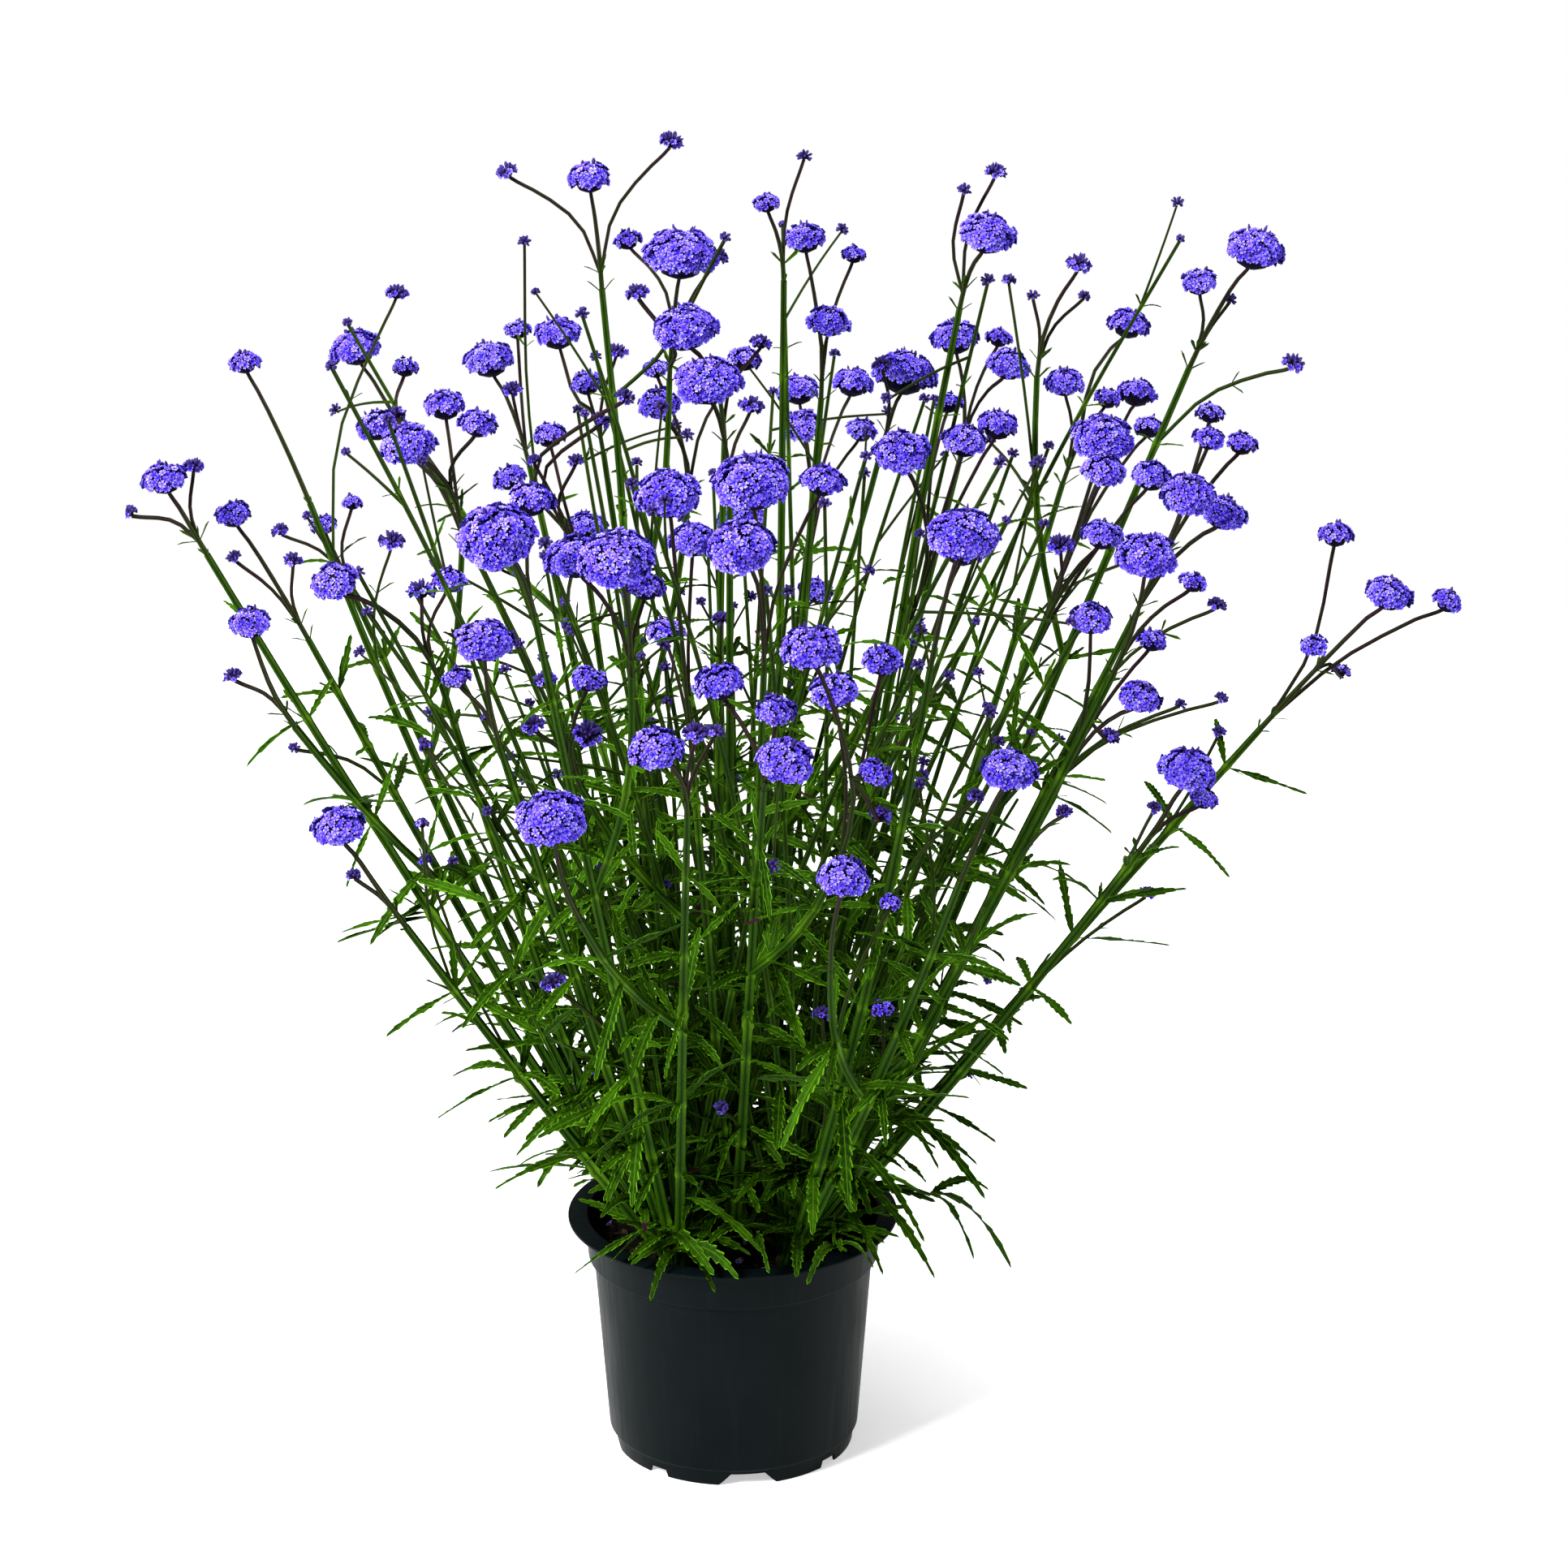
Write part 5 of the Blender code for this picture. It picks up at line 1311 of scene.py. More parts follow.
def leafy_joint(sheaf, line, distance, turn, rng):
    """An opposite pair of small leaves on a joint, at times with a young leaf in the axil."""
    for point, heading, side in both_sides(line, distance, turn):
        high = np.clip((point[2] - JOINT_LEAF_HEIGHTS[0]) / JOINT_LEAF_HEIGHTS[1], 0, 1)
        length = (JOINT_LEAF[0] - JOINT_LEAF[1] * high) * MM
        out = between(heading, side, rng.uniform(*JOINT_SPLAY))
        root = point + side * line["top"] * 0.8
        small_leaf(sheaf, root, out, length * rng.uniform(*JOINT_SIZES), rng.uniform(*JOINT_DROOP), rng,
                   JOINT_WIDTH)
        for _ in range(rng.integers(0, 2) if high < YOUNG_BELOW else 0):
            near = unit(heading * rng.uniform(0.6, 1.4) + side * 0.7 + 0.35 * rng.standard_normal(3))
            small_leaf(sheaf, root, near, length * rng.uniform(*YOUNG_SIZES), rng.uniform(*YOUNG_DROOP), rng,
                       YOUNG_WIDTH)


def leafy_joints(sheaf, line, rng):
    """The leaves on all joints of a line, each pair square to the one below it."""
    turn = rng.uniform(0, math.tau)
    for distance in line["joints"]:
        turn += math.pi / 2
        leafy_joint(sheaf, line, distance, turn, rng)


def bracts(sheaf, line, distance, rng, looks=(0, 1)):
    """A pair of narrow bracts where stalks part."""
    for point, heading, side in both_sides(line, distance, rng.uniform(0, math.tau)):
        out = unit(heading + 0.9 * side)
        small_leaf(sheaf, point + side * line["top"] * 0.7, out, rng.uniform(*BRACT_LENGTHS) * MM,
                   rng.uniform(*BRACT_DROOP), rng, BRACT_WIDTH, looks)


def on_crown(base, rng):
    """A place a little off the middle of a crown, for a thin stem to start from."""
    return base + np.array([*rng.uniform(-4, 4, 2) * MM, 2 * MM])


def thicket_lines(node, base, rng):
    """Thin leafy stems without flowers, which fill the plant between its flowering stems."""
    grown = []
    for _ in range(THICKET_STEMS):
        lean = base[:2] / CROWN_RINGS[1][1] * rng.uniform(*THICKET_LEAN) + rng.normal(0, 0.14, 2)
        way = unit(np.array([lean[0], lean[1], 1.0])) * rng.uniform(*THICKET_LENGTHS)
        start = on_crown(base, rng)
        points = bent(start, start + 0.55 * way + rng.normal(0, 0.012, 3), start + way, 4)
        joints = np.arange(THICKET_FIRST_JOINT, length_of(points), THICKET_STEP)
        grown.append(new_line(points, *THICKET_RADII, node, "leafy stem", joints=joints))
    return grown


def twig_lines(node, base, rng):
    """Thin late stems between the flowering ones, each with a fork, and the small bud heads on their ends."""
    grown, buds = [], []
    outward = math.atan2(base[1], base[0])
    for _ in range(TALL_TWIGS):
        height = rng.uniform(*TWIG_HEIGHTS)
        reach = (TWIG_LOW_REACH + TWIG_SPREAD * (height - SOIL_TOP)) * math.sqrt(rng.uniform(*TWIG_SHARES))
        turn = outward + rng.normal(0, TWIG_SWING)
        start = on_crown(base, rng)
        end = np.array(at_turn(reach, turn, height))
        control = start + (end - start) * np.array([0.3, 0.3, 0.5]) + rng.normal(0, 0.01, 3)
        points = bent(start, control, end, 6)
        total = length_of(points)
        joints = np.arange(TWIG_FIRST_JOINT, total - FORK_BELOW_END[0] * MM, TWIG_STEP)
        twig = new_line(points, *TWIG_RADII, node, "leafy stem", joints=joints)
        root, heading = place_on(twig, total - rng.uniform(*FORK_BELOW_END) * MM)
        aside = unit(heading + FORK_SWING * rng.standard_normal(3))
        tip = root + rng.uniform(*FORK_LENGTHS) * MM * aside + np.array([0, 0, FORK_LIFT])
        bend = root + 0.5 * (tip - root) + 4 * MM * heading
        grown += [twig, new_line(bent(root, bend, tip, 3), *FORK_RADII, node, "twig fork")]
        for spot, heading in ((end, unit(end - control)), (tip, aside)):
            across = rng.uniform(*TWIG_HEADS) * MM
            upright = unit(0.5 * heading + 0.6 * UP)
            centre = spot + 0.2 * across * upright
            buds.append({"across": across, "stage": BUD, "upright": upright, "centre": centre})
    return grown, buds


def rim_shoots(canes, green, node, base, rng):
    """Short shoots of this crown that lean to the rim, with leaves that arch out over it."""
    for fork, tips in RIM_SHOOTS:
        fork = np.array(fork) * MM
        nearest = min(crowns(), key=lambda spot: np.linalg.norm((spot - fork)[:2]))
        if (nearest != base).any():
            continue
        start = base + np.array([0, 0, 2 * MM])
        control = start + 0.5 * (fork - start) + np.array([0, 0, 0.34 * np.linalg.norm(fork - start)])
        line = new_line(bent(start, control, fork, 4), *THICKET_RADII, node, "leafy stem")
        grow_fine_line(canes, line, 0, (0.0, 0), (0.15, 0))
        for tip in tips:
            way = np.array(tip) * MM - fork
            length = np.linalg.norm(way)
            arch = np.array([0, 0, RIM_ARCH * length])
            path = fork + LEAF_STEPS * way + 4 * LEAF_STEPS * (1 - LEAF_STEPS) * arch
            side = unit(np.cross(way, UP) + 0.15 * rng.standard_normal(3))
            blade(green, path, side, length * RIM_WIDTH, MIDDLE_TEETH, 5, rng)
        for _ in range(3):
            out = unit(unit(fork - start) + 0.8 * rng.standard_normal(3))
            small_leaf(green, fork, out, rng.uniform(*RIM_TUFT) * MM, rng.uniform(0, 0.3), rng, YOUNG_WIDTH)


def loose_leaves(sheaf, line, rng):
    """A few longer leaves low on a stem, away from its joints."""
    for _ in range(LOOSE_LEAVES):
        point, heading = place_on(line, rng.uniform(*LOOSE_SPOTS) * MM)
        out = unit(0.4 * heading + 0.8 * rng.standard_normal(3) * np.array([1, 1, 0.3]))
        small_leaf(sheaf, point, out, rng.uniform(*LOOSE_LENGTHS) * MM, rng.uniform(*LOOSE_DROOP), rng,
                   LOOSE_WIDTH)


def make_crown(number, base, lines, heads, leaves, looks):
    """The stems, leaves and young heads that rise from one root crown."""
    node = f"stems_{number}"
    rng = np.random.default_rng([SEED, number])
    canes, green, young = Sheaf(), Sheaf(), Sheaf()
    knob = np.array([[CROWN_RADIUS * 0.9, CROWN_RADIUS * 0.9, CROWN_RISE * 1.05]])
    stamp(canes, KNOB, base[None], np.eye(3)[None], knob, 1, np.array([[0.5, 0]]))
    for line in (line for line in lines if line["node"] == node):
        if line["kind"] == "shoot":
            grow_fine_line(canes, line, 0, (0.25, 0), (0.8, 0))
            bracts(green, line, 0.6 * length_of(line["points"]), rng)
            continue
        grow_fine_line(canes, line, 0, (0.0, 0), (0.18, 0))
        leafy_joints(green, line, rng)
        if line["kind"] == "stem":
            loose_leaves(green, line, rng)
        bracts(green, line, length_of(line["points"]) - 1 * MM, rng)
    twigs, buds = twig_lines(node, base, rng)
    for line in thicket_lines(node, base, rng) + twigs:
        low = 0.3 if line["kind"] == "twig fork" else 0.0
        high = 0.1 if line["points"][-1][2] < TWIG_HEIGHTS[0] else low + 0.4
        grow_fine_line(canes, line, 0, (low, 0), (high, 0))
        leafy_joints(green, line, rng)
    for head in buds:
        bloom(young, head, rng)
    rim_shoots(canes, green, node, base, rng)
    for leaf in leaves:
        if leaf["node"] == node:
            red = RED_TIP if rng.random() < 0.06 else 0.0
            blade(green, leaf["path"], leaf["side"], leaf["width"] * LARGE_WIDTH, LARGE_TEETH, 5, rng, red)
    for head in heads:
        if head["node"] == node:
            bloom(young, head, rng)
    canes.make(node + "_canes", [looks["stem"], looks["crown"]], [node], "green_growth", 42)
    green.make(node + "_leaves", [looks["leaf"], looks["leaf_under"]], [node], "green_growth", 60)
    young.make(node + "_young_heads", looks["bloom"], [node], "violet_growth")


def make_truss(number, lines, heads, looks):
    """The forked stalks of one truss with their heads."""
    node = f"truss_{number:02d}"
    rng = np.random.default_rng([SEED, 100 + number])
    sheaf = Sheaf()
    for line in lines:
        if line["node"] == node:
            low = (0.35, 0) if line["kind"] == "stalk" else (0.7, 0)
            grow_fine_line(sheaf, line, STALK_LOOK, low, (1.0, 0))
            if line["kind"] == "side stalk":
                bracts(sheaf, line, 2 * MM, rng, (LEAF_LOOK, LEAF_LOOK + 1))
    for head in heads:
        if head["node"] == node:
            bloom(sheaf, head, rng)
    sheaf.make(node + "_bloom", looks["bloom"], [node], "violet_growth")


def solid(name, points, faces):
    """A mesh object from points and faces, with every face turned outwards."""
    mesh = bpy.data.meshes.new(name)
    bm = bmesh.new()
    verts = [bm.verts.new(tuple(float(c) for c in p)) for p in points]
    for face in faces:
        bm.faces.new([verts[k] for k in face])
    bmesh.ops.recalc_face_normals(bm, faces=bm.faces)
    bm.to_mesh(mesh)
    bm.free()
    return bpy.data.objects.new(name, mesh)


def turned(name, profile, sides):
    """A closed turned body from (radius, height) points that run from the axis round to the axis."""
    points, rings = [], []
    for radius, height in profile:
        if radius == 0:
            rings.append([len(points)] * sides)
            points.append((0, 0, height))
            continue
        rings.append(list(range(len(points), len(points) + sides)))
        points += [at_turn(radius, math.tau * i / sides, height) for i in range(sides)]
    faces = []
    for low, high in zip(rings, rings[1:]):
        for i in range(sides):
            k = (i + 1) % sides
            face = [low[i], low[k], high[k], high[i]]
            if low[0] == low[1]:
                face = [low[0], high[k], high[i]]
            elif high[0] == high[1]:
                face = [low[i], low[k], high[0]]
            faces.append(face)
    return solid(name, points, faces)


def notch_cutter(turn, low_angle, top_angle, height):
    """A block with slanted ends that cuts one notch in the foot ring."""
    points = []
    for radius in (FOOT_RADIUS - 6 * MM, FOOT_RADIUS + 8 * MM):
        for z, angle in ((-2 * MM, low_angle), (height, top_angle)):
            points += [at_turn(radius, turn + side * angle, z) for side in (-0.5, 0.5)]
    faces = [(0, 1, 3, 2), (4, 5, 7, 6), (0, 1, 5, 4), (2, 3, 7, 6), (0, 2, 6, 4), (1, 3, 7, 5)]
    return solid("notch", points, faces)


def prism(name, centre, radius, low, high, sides, turn=0.0):
    """An upright prism round a centre."""
    points = []
    for z in (low, high):
        for i in range(sides):
            a = turn + math.tau * i / sides
            points.append((centre[0] + radius * math.cos(a), centre[1] + radius * math.sin(a), z))
    faces = [tuple(range(sides)), tuple(range(sides, 2 * sides))]
    faces += [(i, (i + 1) % sides, sides + (i + 1) % sides, sides + i) for i in range(sides)]
    return solid(name, points, faces)


def eased(profile, reach):
    """The profile with each corner off the axis rounded by two more points."""
    points = [np.array(point, float) for point in profile]
    made = [tuple(points[0])]
    for before, corner, after in zip(points, points[1:], points[2:]):
        back, ahead = before - corner, after - corner
        if unit(back) @ unit(ahead) < -0.985:
            made.append(tuple(corner))
            continue
        start = corner + unit(back) * min(reach, 0.35 * np.linalg.norm(back))
        end = corner + unit(ahead) * min(reach, 0.35 * np.linalg.norm(ahead))
        made += [tuple(start), tuple(0.25 * start + 0.5 * corner + 0.25 * end), tuple(end)]
    return made + [tuple(points[-1])]


def make_pot(looks):
    """The moulded pot, with eased edges: a well, a notched foot ring, a body, a band and a lip."""
    floor = FLOOR_UNDER + WALL
    profile = [
        (0, 0), (WELL_RADIUS, 0), (WELL_RADIUS + MM, FLOOR_UNDER), (FOOT_RADIUS - WALL, FLOOR_UNDER),
        (FOOT_RADIUS - WALL, 0), (FOOT_RADIUS, 0), (FOOT_RADIUS + MM, FOOT_HEIGHT),
        (BODY_LOW_RADIUS, BODY_LOW), (BODY_TOP_RADIUS, BAND_LOW - 1.5 * MM), (BAND_LOW_RADIUS, BAND_LOW),
        (BAND_TOP_RADIUS, POT_HEIGHT - LIP_THICKNESS - MM), (LIP_RADIUS, POT_HEIGHT - LIP_THICKNESS),
        (LIP_RADIUS, POT_HEIGHT - 0.3 * MM), (BAND_TOP_RADIUS - WALL, POT_HEIGHT),
        (BAND_LOW_RADIUS - WALL, BAND_LOW + MM), (BODY_TOP_RADIUS - WALL, BAND_LOW - 0.5 * MM),
        (BODY_LOW_RADIUS - WALL, floor + 3 * MM), (FOOT_RADIUS - MM, floor), (WELL_RADIUS - 0.4 * MM, floor),
        (WELL_RADIUS - WALL, WALL), (0, WALL),
    ]
    pot = turned("pot_shell", eased(profile, EDGE_EASE), FINE_SIDES)
    bpy.context.scene.collection.objects.link(pot)
    group = bpy.data.collections.new("cutters")
    bpy.context.scene.collection.children.link(group)
    for i in range(NOTCHES):
        turn = FIRST_NOTCH + math.tau * i / NOTCHES
        group.objects.link(notch_cutter(turn, *(WIDE_NOTCH, NARROW_NOTCH)[i % 2]))
        if i % 2 == 0:
            spot = at_turn(DRAIN_RING, turn, 0)
            drain = prism("drain", spot, DRAIN_RADIUS, FLOOR_UNDER - 3 * MM, floor + 3 * MM, 24, turn)
            group.objects.link(drain)
    cut = pot.modifiers.new("Cut", "BOOLEAN")
    cut.operation = "DIFFERENCE"
    cut.operand_type = "COLLECTION"
    cut.collection = group
    cut.solver = "EXACT"
    bpy.context.view_layer.update()
    mesh = bpy.data.meshes.new_from_object(pot.evaluated_get(bpy.context.evaluated_depsgraph_get()))
    pot.modifiers.clear()
    pot.data = mesh
    for cutter in list(group.objects):
        bpy.data.objects.remove(cutter, do_unlink=True)
    bpy.data.collections.remove(group)
    mesh.materials.clear()
    place_piece(pot, [looks["pot"]], ["pot"], 40)


def soil_height(x, y):
    """Height of the crumbly soil at a place: clods, and finer grit on them."""
    rough = [noise.noise(Vector((x, y, layer)) * fineness) * height for layer, fineness, height in CLODS]
    return SOIL_TOP + (rough[0] + rough[1] + rough[2]) * MM


def make_soil(looks):
    """The root ball with its rough top, and what lies on it."""
    inner = WALL + GAP
    floor = FLOOR_UNDER + WALL + GAP
    profile = [
        (0, WALL + GAP), (WELL_RADIUS - inner, WALL + GAP), (WELL_RADIUS - 0.4 * MM - GAP, floor),
        (FOOT_RADIUS - MM - GAP, floor), (BODY_TOP_RADIUS - inner, BAND_LOW - 0.5 * MM + GAP),
        (BAND_LOW_RADIUS - inner, BAND_LOW + MM + GAP), (SOIL_EDGE, SOIL_TOP - 2 * MM),
    ]
    profile += [(SOIL_EDGE * (1 - k / SOIL_RINGS), SOIL_TOP) for k in range(1, SOIL_RINGS)]
    bed = turned("soil_bed", profile + [(0, SOIL_TOP)], SOIL_SECTORS)
    for vert in bed.data.vertices:
        if vert.co.z > SOIL_TOP - 0.1 * MM:
            vert.co.z = soil_height(vert.co.x, vert.co.y)
    place_piece(bed, [looks["soil"]], ["soil"])
    rng = np.random.default_rng([SEED, 500])
    crumbs = Sheaf()
    strew_crumbs(crumbs, rng)
    strew_fibres(crumbs, rng)
    crumbs.make("soil_crumbs", [looks["crumb"]], ["soil"], "potting_soil")
    fallen = Sheaf()
    strew_florets(fallen, rng)
    fallen.make("fallen_florets", [looks["fallen"]], ["soil"], "violet_growth")


def strew_crumbs(sheaf, rng):
    """Rough lumps of compost, all over the soil."""
    reach, turn = SOIL_EDGE * np.sqrt(rng.random(CRUMBS)) * 0.985, rng.uniform(0, math.tau, CRUMBS)
    spots = np.stack([reach * np.cos(turn), reach * np.sin(turn), np.zeros(CRUMBS)], axis=1)
    sizes = rng.uniform(*CRUMB_SIZES, CRUMBS) ** 1.2 * MM
    spots[:, 2] = [soil_height(x, y) for x, y in spots[:, :2]] + 0.25 * sizes
    axes = rng.standard_normal((CRUMBS, 3))
    axes /= np.linalg.norm(axes, axis=1)[:, None]
    scales = sizes[:, None] * rng.uniform(0.45, 1.1, (CRUMBS, 3))
    keep = np.hypot(spots[:, 0], spots[:, 1]) + scales.max(axis=1) < SOIL_EDGE
    kinds = np.stack([rng.random(CRUMBS), np.zeros(CRUMBS)], axis=1)
    stamp(sheaf, LUMP, spots[keep], frames_for(axes, turn)[keep], scales[keep], 0, kinds[keep])


def strew_fibres(sheaf, rng):
    """Short bent fibres that lie on the soil."""
    for _ in range(FIBRES):
        reach, turn = SOIL_EDGE * 0.93 * math.sqrt(rng.random()), rng.uniform(0, math.tau)
        way = np.array(at_turn(1.0, rng.uniform(0, math.tau), 0)) * rng.uniform(*FIBRE_LENGTHS) * MM
        start = np.array(at_turn(reach, turn, 0))
        path = [start, start + 0.5 * way + rng.standard_normal(3) * 0.8 * MM, start + way]
        if any(np.hypot(x, y) >= SOIL_EDGE - 1.5 * MM for x, y, _ in path):
            continue
        for spot in path:
            spot[2] = soil_height(spot[0], spot[1]) + rng.uniform(0.4, 1.4) * MM
        radii = rng.uniform(0.25, 0.6) * MM * np.array([1, 1.2, 0.7])
        tube(sheaf, np.array(path), radii, (1.0,), 0, np.full((3, 2), (rng.random(), 1.0)))


def strew_florets(sheaf, rng):
    """Florets that have fallen on the soil."""
    for _ in range(FALLEN):
        reach, turn = SOIL_EDGE * 0.9 * math.sqrt(rng.random()), rng.uniform(0, math.tau)
        x, y, _ = at_turn(reach, turn, 0)
        spot = np.array([[x, y, soil_height(x, y) + 2.2 * MM]])
        axis = unit(UP + 0.5 * rng.standard_normal(3))[None]
        stamp(sheaf, FLORET, spot, frames_for(axis, np.array([turn])), np.full((1, 3), 2.7 * MM), 0,
              np.array([[rng.random(), 0.5]]))


# Materials

def add_node(tree, kind, inputs=None, **settings):
    """A shader node with its settings, and its inputs as values or as sockets to link from."""
    made = tree.nodes.new(kind)
    for name, value in settings.items():
        setattr(made, name, value)
    for key, value in (inputs or {}).items():
        if isinstance(value, bpy.types.NodeSocket):
            tree.links.new(value, made.inputs[key])
        else:
            made.inputs[key].default_value = value
    return made


def ramp(tree, value, stops):
    """Colours along a value, from (position, colour) stops."""
    made = add_node(tree, "ShaderNodeValToRGB", {0: value})
    elements = made.color_ramp.elements
    elements[0].position, elements[1].position = stops[0][0], stops[-1][0]
    elements[0].color, elements[1].color = (*stops[0][1], 1), (*stops[-1][1], 1)
    for position, colour in stops[1:-1]:
        elements.new(position).color = (*colour, 1)
    return made.outputs[0]


def mix(tree, share, a, b, blend="MIX"):
    made = add_node(tree, "ShaderNodeMix", {0: share}, data_type="RGBA", blend_type=blend)
    for key, value in ((6, a), (7, b)):
        if isinstance(value, bpy.types.NodeSocket):
            tree.links.new(value, made.inputs[key])
        else:
            made.inputs[key].default_value = (*value, 1)
    return made.outputs[2]


def calc(tree, operation, a, b=0.0, clamp=False):
    return add_node(tree, "ShaderNodeMath", {0: a, 1: b}, operation=operation, use_clamp=clamp).outputs[0]


def grain(tree, scale, detail=3.0, stretch=(1, 1, 1)):
    """Noise over the object's own coordinates, in features per metre."""
    spot = add_node(tree, "ShaderNodeTexCoord").outputs["Object"]
    spot = add_node(tree, "ShaderNodeVectorMath", {0: spot, 1: stretch}, operation="MULTIPLY").outputs[0]
    return add_node(tree, "ShaderNodeTexNoise", {"Vector": spot, "Scale": scale, "Detail": detail}).outputs[0]


def spread(tree, value, low, high, to_low=0.0, to_high=1.0):
    """Moves a value from one range to another, and holds it there."""
    return add_node(tree, "ShaderNodeMapRange", {0: value, 1: low, 2: high, 3: to_low, 4: to_high}).outputs[0]


def varied(tree, noise_value, low, high):
    """Spreads a noise, whose values are mostly from 0.3 to 0.7, over a range."""
    return spread(tree, noise_value, 0.3, 0.7, low, high)


class Look:
    """A material under way: its tree, its shader and the tint values of each point."""

    def __init__(self, name, **plain):
        self.material = bpy.data.materials.new(name)
        self.material.use_nodes = True
        self.tree = self.material.node_tree
        self.shader = self.tree.nodes["Principled BSDF"]
        for key, value in plain.items():
            self.shader.inputs[key.replace("_", " ")].default_value = value

    def tints(self):
        colour = add_node(self.tree, "ShaderNodeAttribute", attribute_name="tint").outputs["Color"]
        return add_node(self.tree, "ShaderNodeSeparateColor", {0: colour}).outputs[:3]

    def done(self, colour, roughness, bump, depth, strength=1.0):
        tree = self.tree
        tree.links.new(colour, self.shader.inputs["Base Color"])
        tree.links.new(roughness, self.shader.inputs["Roughness"])
        made = add_node(tree, "ShaderNodeBump", {"Height": bump, "Distance": depth, "Strength": strength})
        tree.links.new(made.outputs[0], self.shader.inputs["Normal"])
        return self.material


def petal_look(name, stops, pale, pale_share):
    """Petals: dark in the throat and clear at the tips, some paler and some duller than the others."""
    look = Look(name, Specular_IOR_Level=0.04)
    tree = look.tree
    tone, who, _ = look.tints()
    fine = grain(tree, 900)
    value = calc(tree, "ADD", spread(tree, tone, -0.2, 1.0), varied(tree, fine, -0.1, 0.1))
    colour = ramp(tree, value, stops)
    lift = calc(tree, "MULTIPLY", calc(tree, "POWER", who, 2.5), pale_share)
    lift = calc(tree, "MULTIPLY", lift, spread(tree, tone, 0.1, 0.7))
    colour = mix(tree, lift, colour, pale)
    shade = spread(tree, who, 0.0, 0.45, 0.45, 0.0)
    colour = mix(tree, shade, colour, stops[1][1])
    return look.done(colour, varied(tree, fine, 0.5, 0.72), fine, 0.25 * MM, 0.6)


def dark_look(name, low, high, grainy, roughness):
    """Buds, calyces and cores: a dark colour that lightens upwards."""
    look = Look(name, Specular_IOR_Level=0.04)
    tree = look.tree
    tone, who, _ = look.tints()
    fine = grain(tree, grainy)
    value = calc(tree, "ADD", calc(tree, "MULTIPLY", tone, 0.8), varied(tree, fine, -0.2, 0.2))
    value = calc(tree, "ADD", value, calc(tree, "MULTIPLY", who, 0.15))
    colour = ramp(tree, value, [(0.1, low), (0.95, high)])
    rough = varied(tree, fine, roughness - 0.08, roughness + 0.1)
    return look.done(colour, rough, fine, 0.3 * MM, 0.6)


def stalk_look(name, green, dark, pale):
    """Ridged stems: green to dark purple along the first tint, pale on the second, painted shade in the
    grooves.
    """
    look = Look(name, Specular_IOR_Level=0.02)
    tree = look.tree
    ridge, purple, joint = look.tints()
    coarse, fine = grain(tree, 45, 2.0), grain(tree, 700, 3.0, (1, 1, 0.15))
    colour = mix(tree, purple, green, dark)
    deep = (green[0] * 0.5, green[1] * 0.55, green[2])
    colour = mix(tree, spread(tree, coarse, 0.35, 0.7, 0, 0.5), colour, deep)
    colour = mix(tree, calc(tree, "MULTIPLY", spread(tree, joint, 0.2, 1.0), 0.4), colour, pale)
    # Painted shade: the grooves are darkened to 0.3 of the colour, and the ridges are lightened to 1.25.
    shade = spread(tree, ridge, 0.0, 0.9, 0.3, 1.25)
    shade = calc(tree, "MULTIPLY", shade, varied(tree, fine, 0.8, 1.2))
    painted_groove_shade = add_node(tree, "ShaderNodeCombineColor", {0: shade, 1: shade, 2: shade}).outputs[0]
    colour = mix(tree, 1.0, colour, painted_groove_shade, "MULTIPLY")
    return look.done(colour, varied(tree, fine, 0.38, 0.58), fine, 0.2 * MM, 0.5)


def leaf_look(name, deep, light, vein, roughness):
    """Leaves: deep green in painted shade, light edges as painted highlight, a midrib, a side vein to each
    tooth, a few red tips.
    """
    look = Look(name, Specular_IOR_Level=0.02)
    tree = look.tree
    out, along_it, tone = look.tints()
    coarse, fine = grain(tree, 130), grain(tree, 1100)
    # Painted light: the blade takes the deep colour over its middle as painted shade and the light colour
    # towards its edges as painted highlight.
    edge = spread(tree, out, 0.74, 0.97, 0, 0.95)
    share = calc(tree, "ADD", spread(tree, coarse, 0.4, 0.75, 0, 0.16), calc(tree, "MULTIPLY", tone, 0.16))
    colour = mix(tree, calc(tree, "ADD", share, edge, True), deep, light)
    rib = calc(tree, "MULTIPLY", along_it, LARGE_TEETH + 0.4)
    rib = calc(tree, "SUBTRACT", rib, calc(tree, "MULTIPLY", out, 0.8))
    rib = calc(tree, "ABSOLUTE", calc(tree, "SUBTRACT", calc(tree, "FRACT", rib), 0.5))
    side_vein = spread(tree, rib, 0.36, 0.5)
    middle = spread(tree, out, 0.16, 0.03)
    veins = calc(tree, "MAXIMUM", calc(tree, "MULTIPLY", side_vein, 0.45), middle)
    colour = mix(tree, calc(tree, "MULTIPLY", veins, 0.55), colour, vein)
    colour = mix(tree, spread(tree, tone, 1.02, 1.35), colour, (0.035, 0.008, 0.018))
    height = calc(tree, "SUBTRACT", calc(tree, "MULTIPLY", fine, 0.5), veins)
    rough = varied(tree, fine, roughness - 0.1, roughness + 0.1)
    return look.done(colour, rough, height, 0.35 * MM, 0.7)


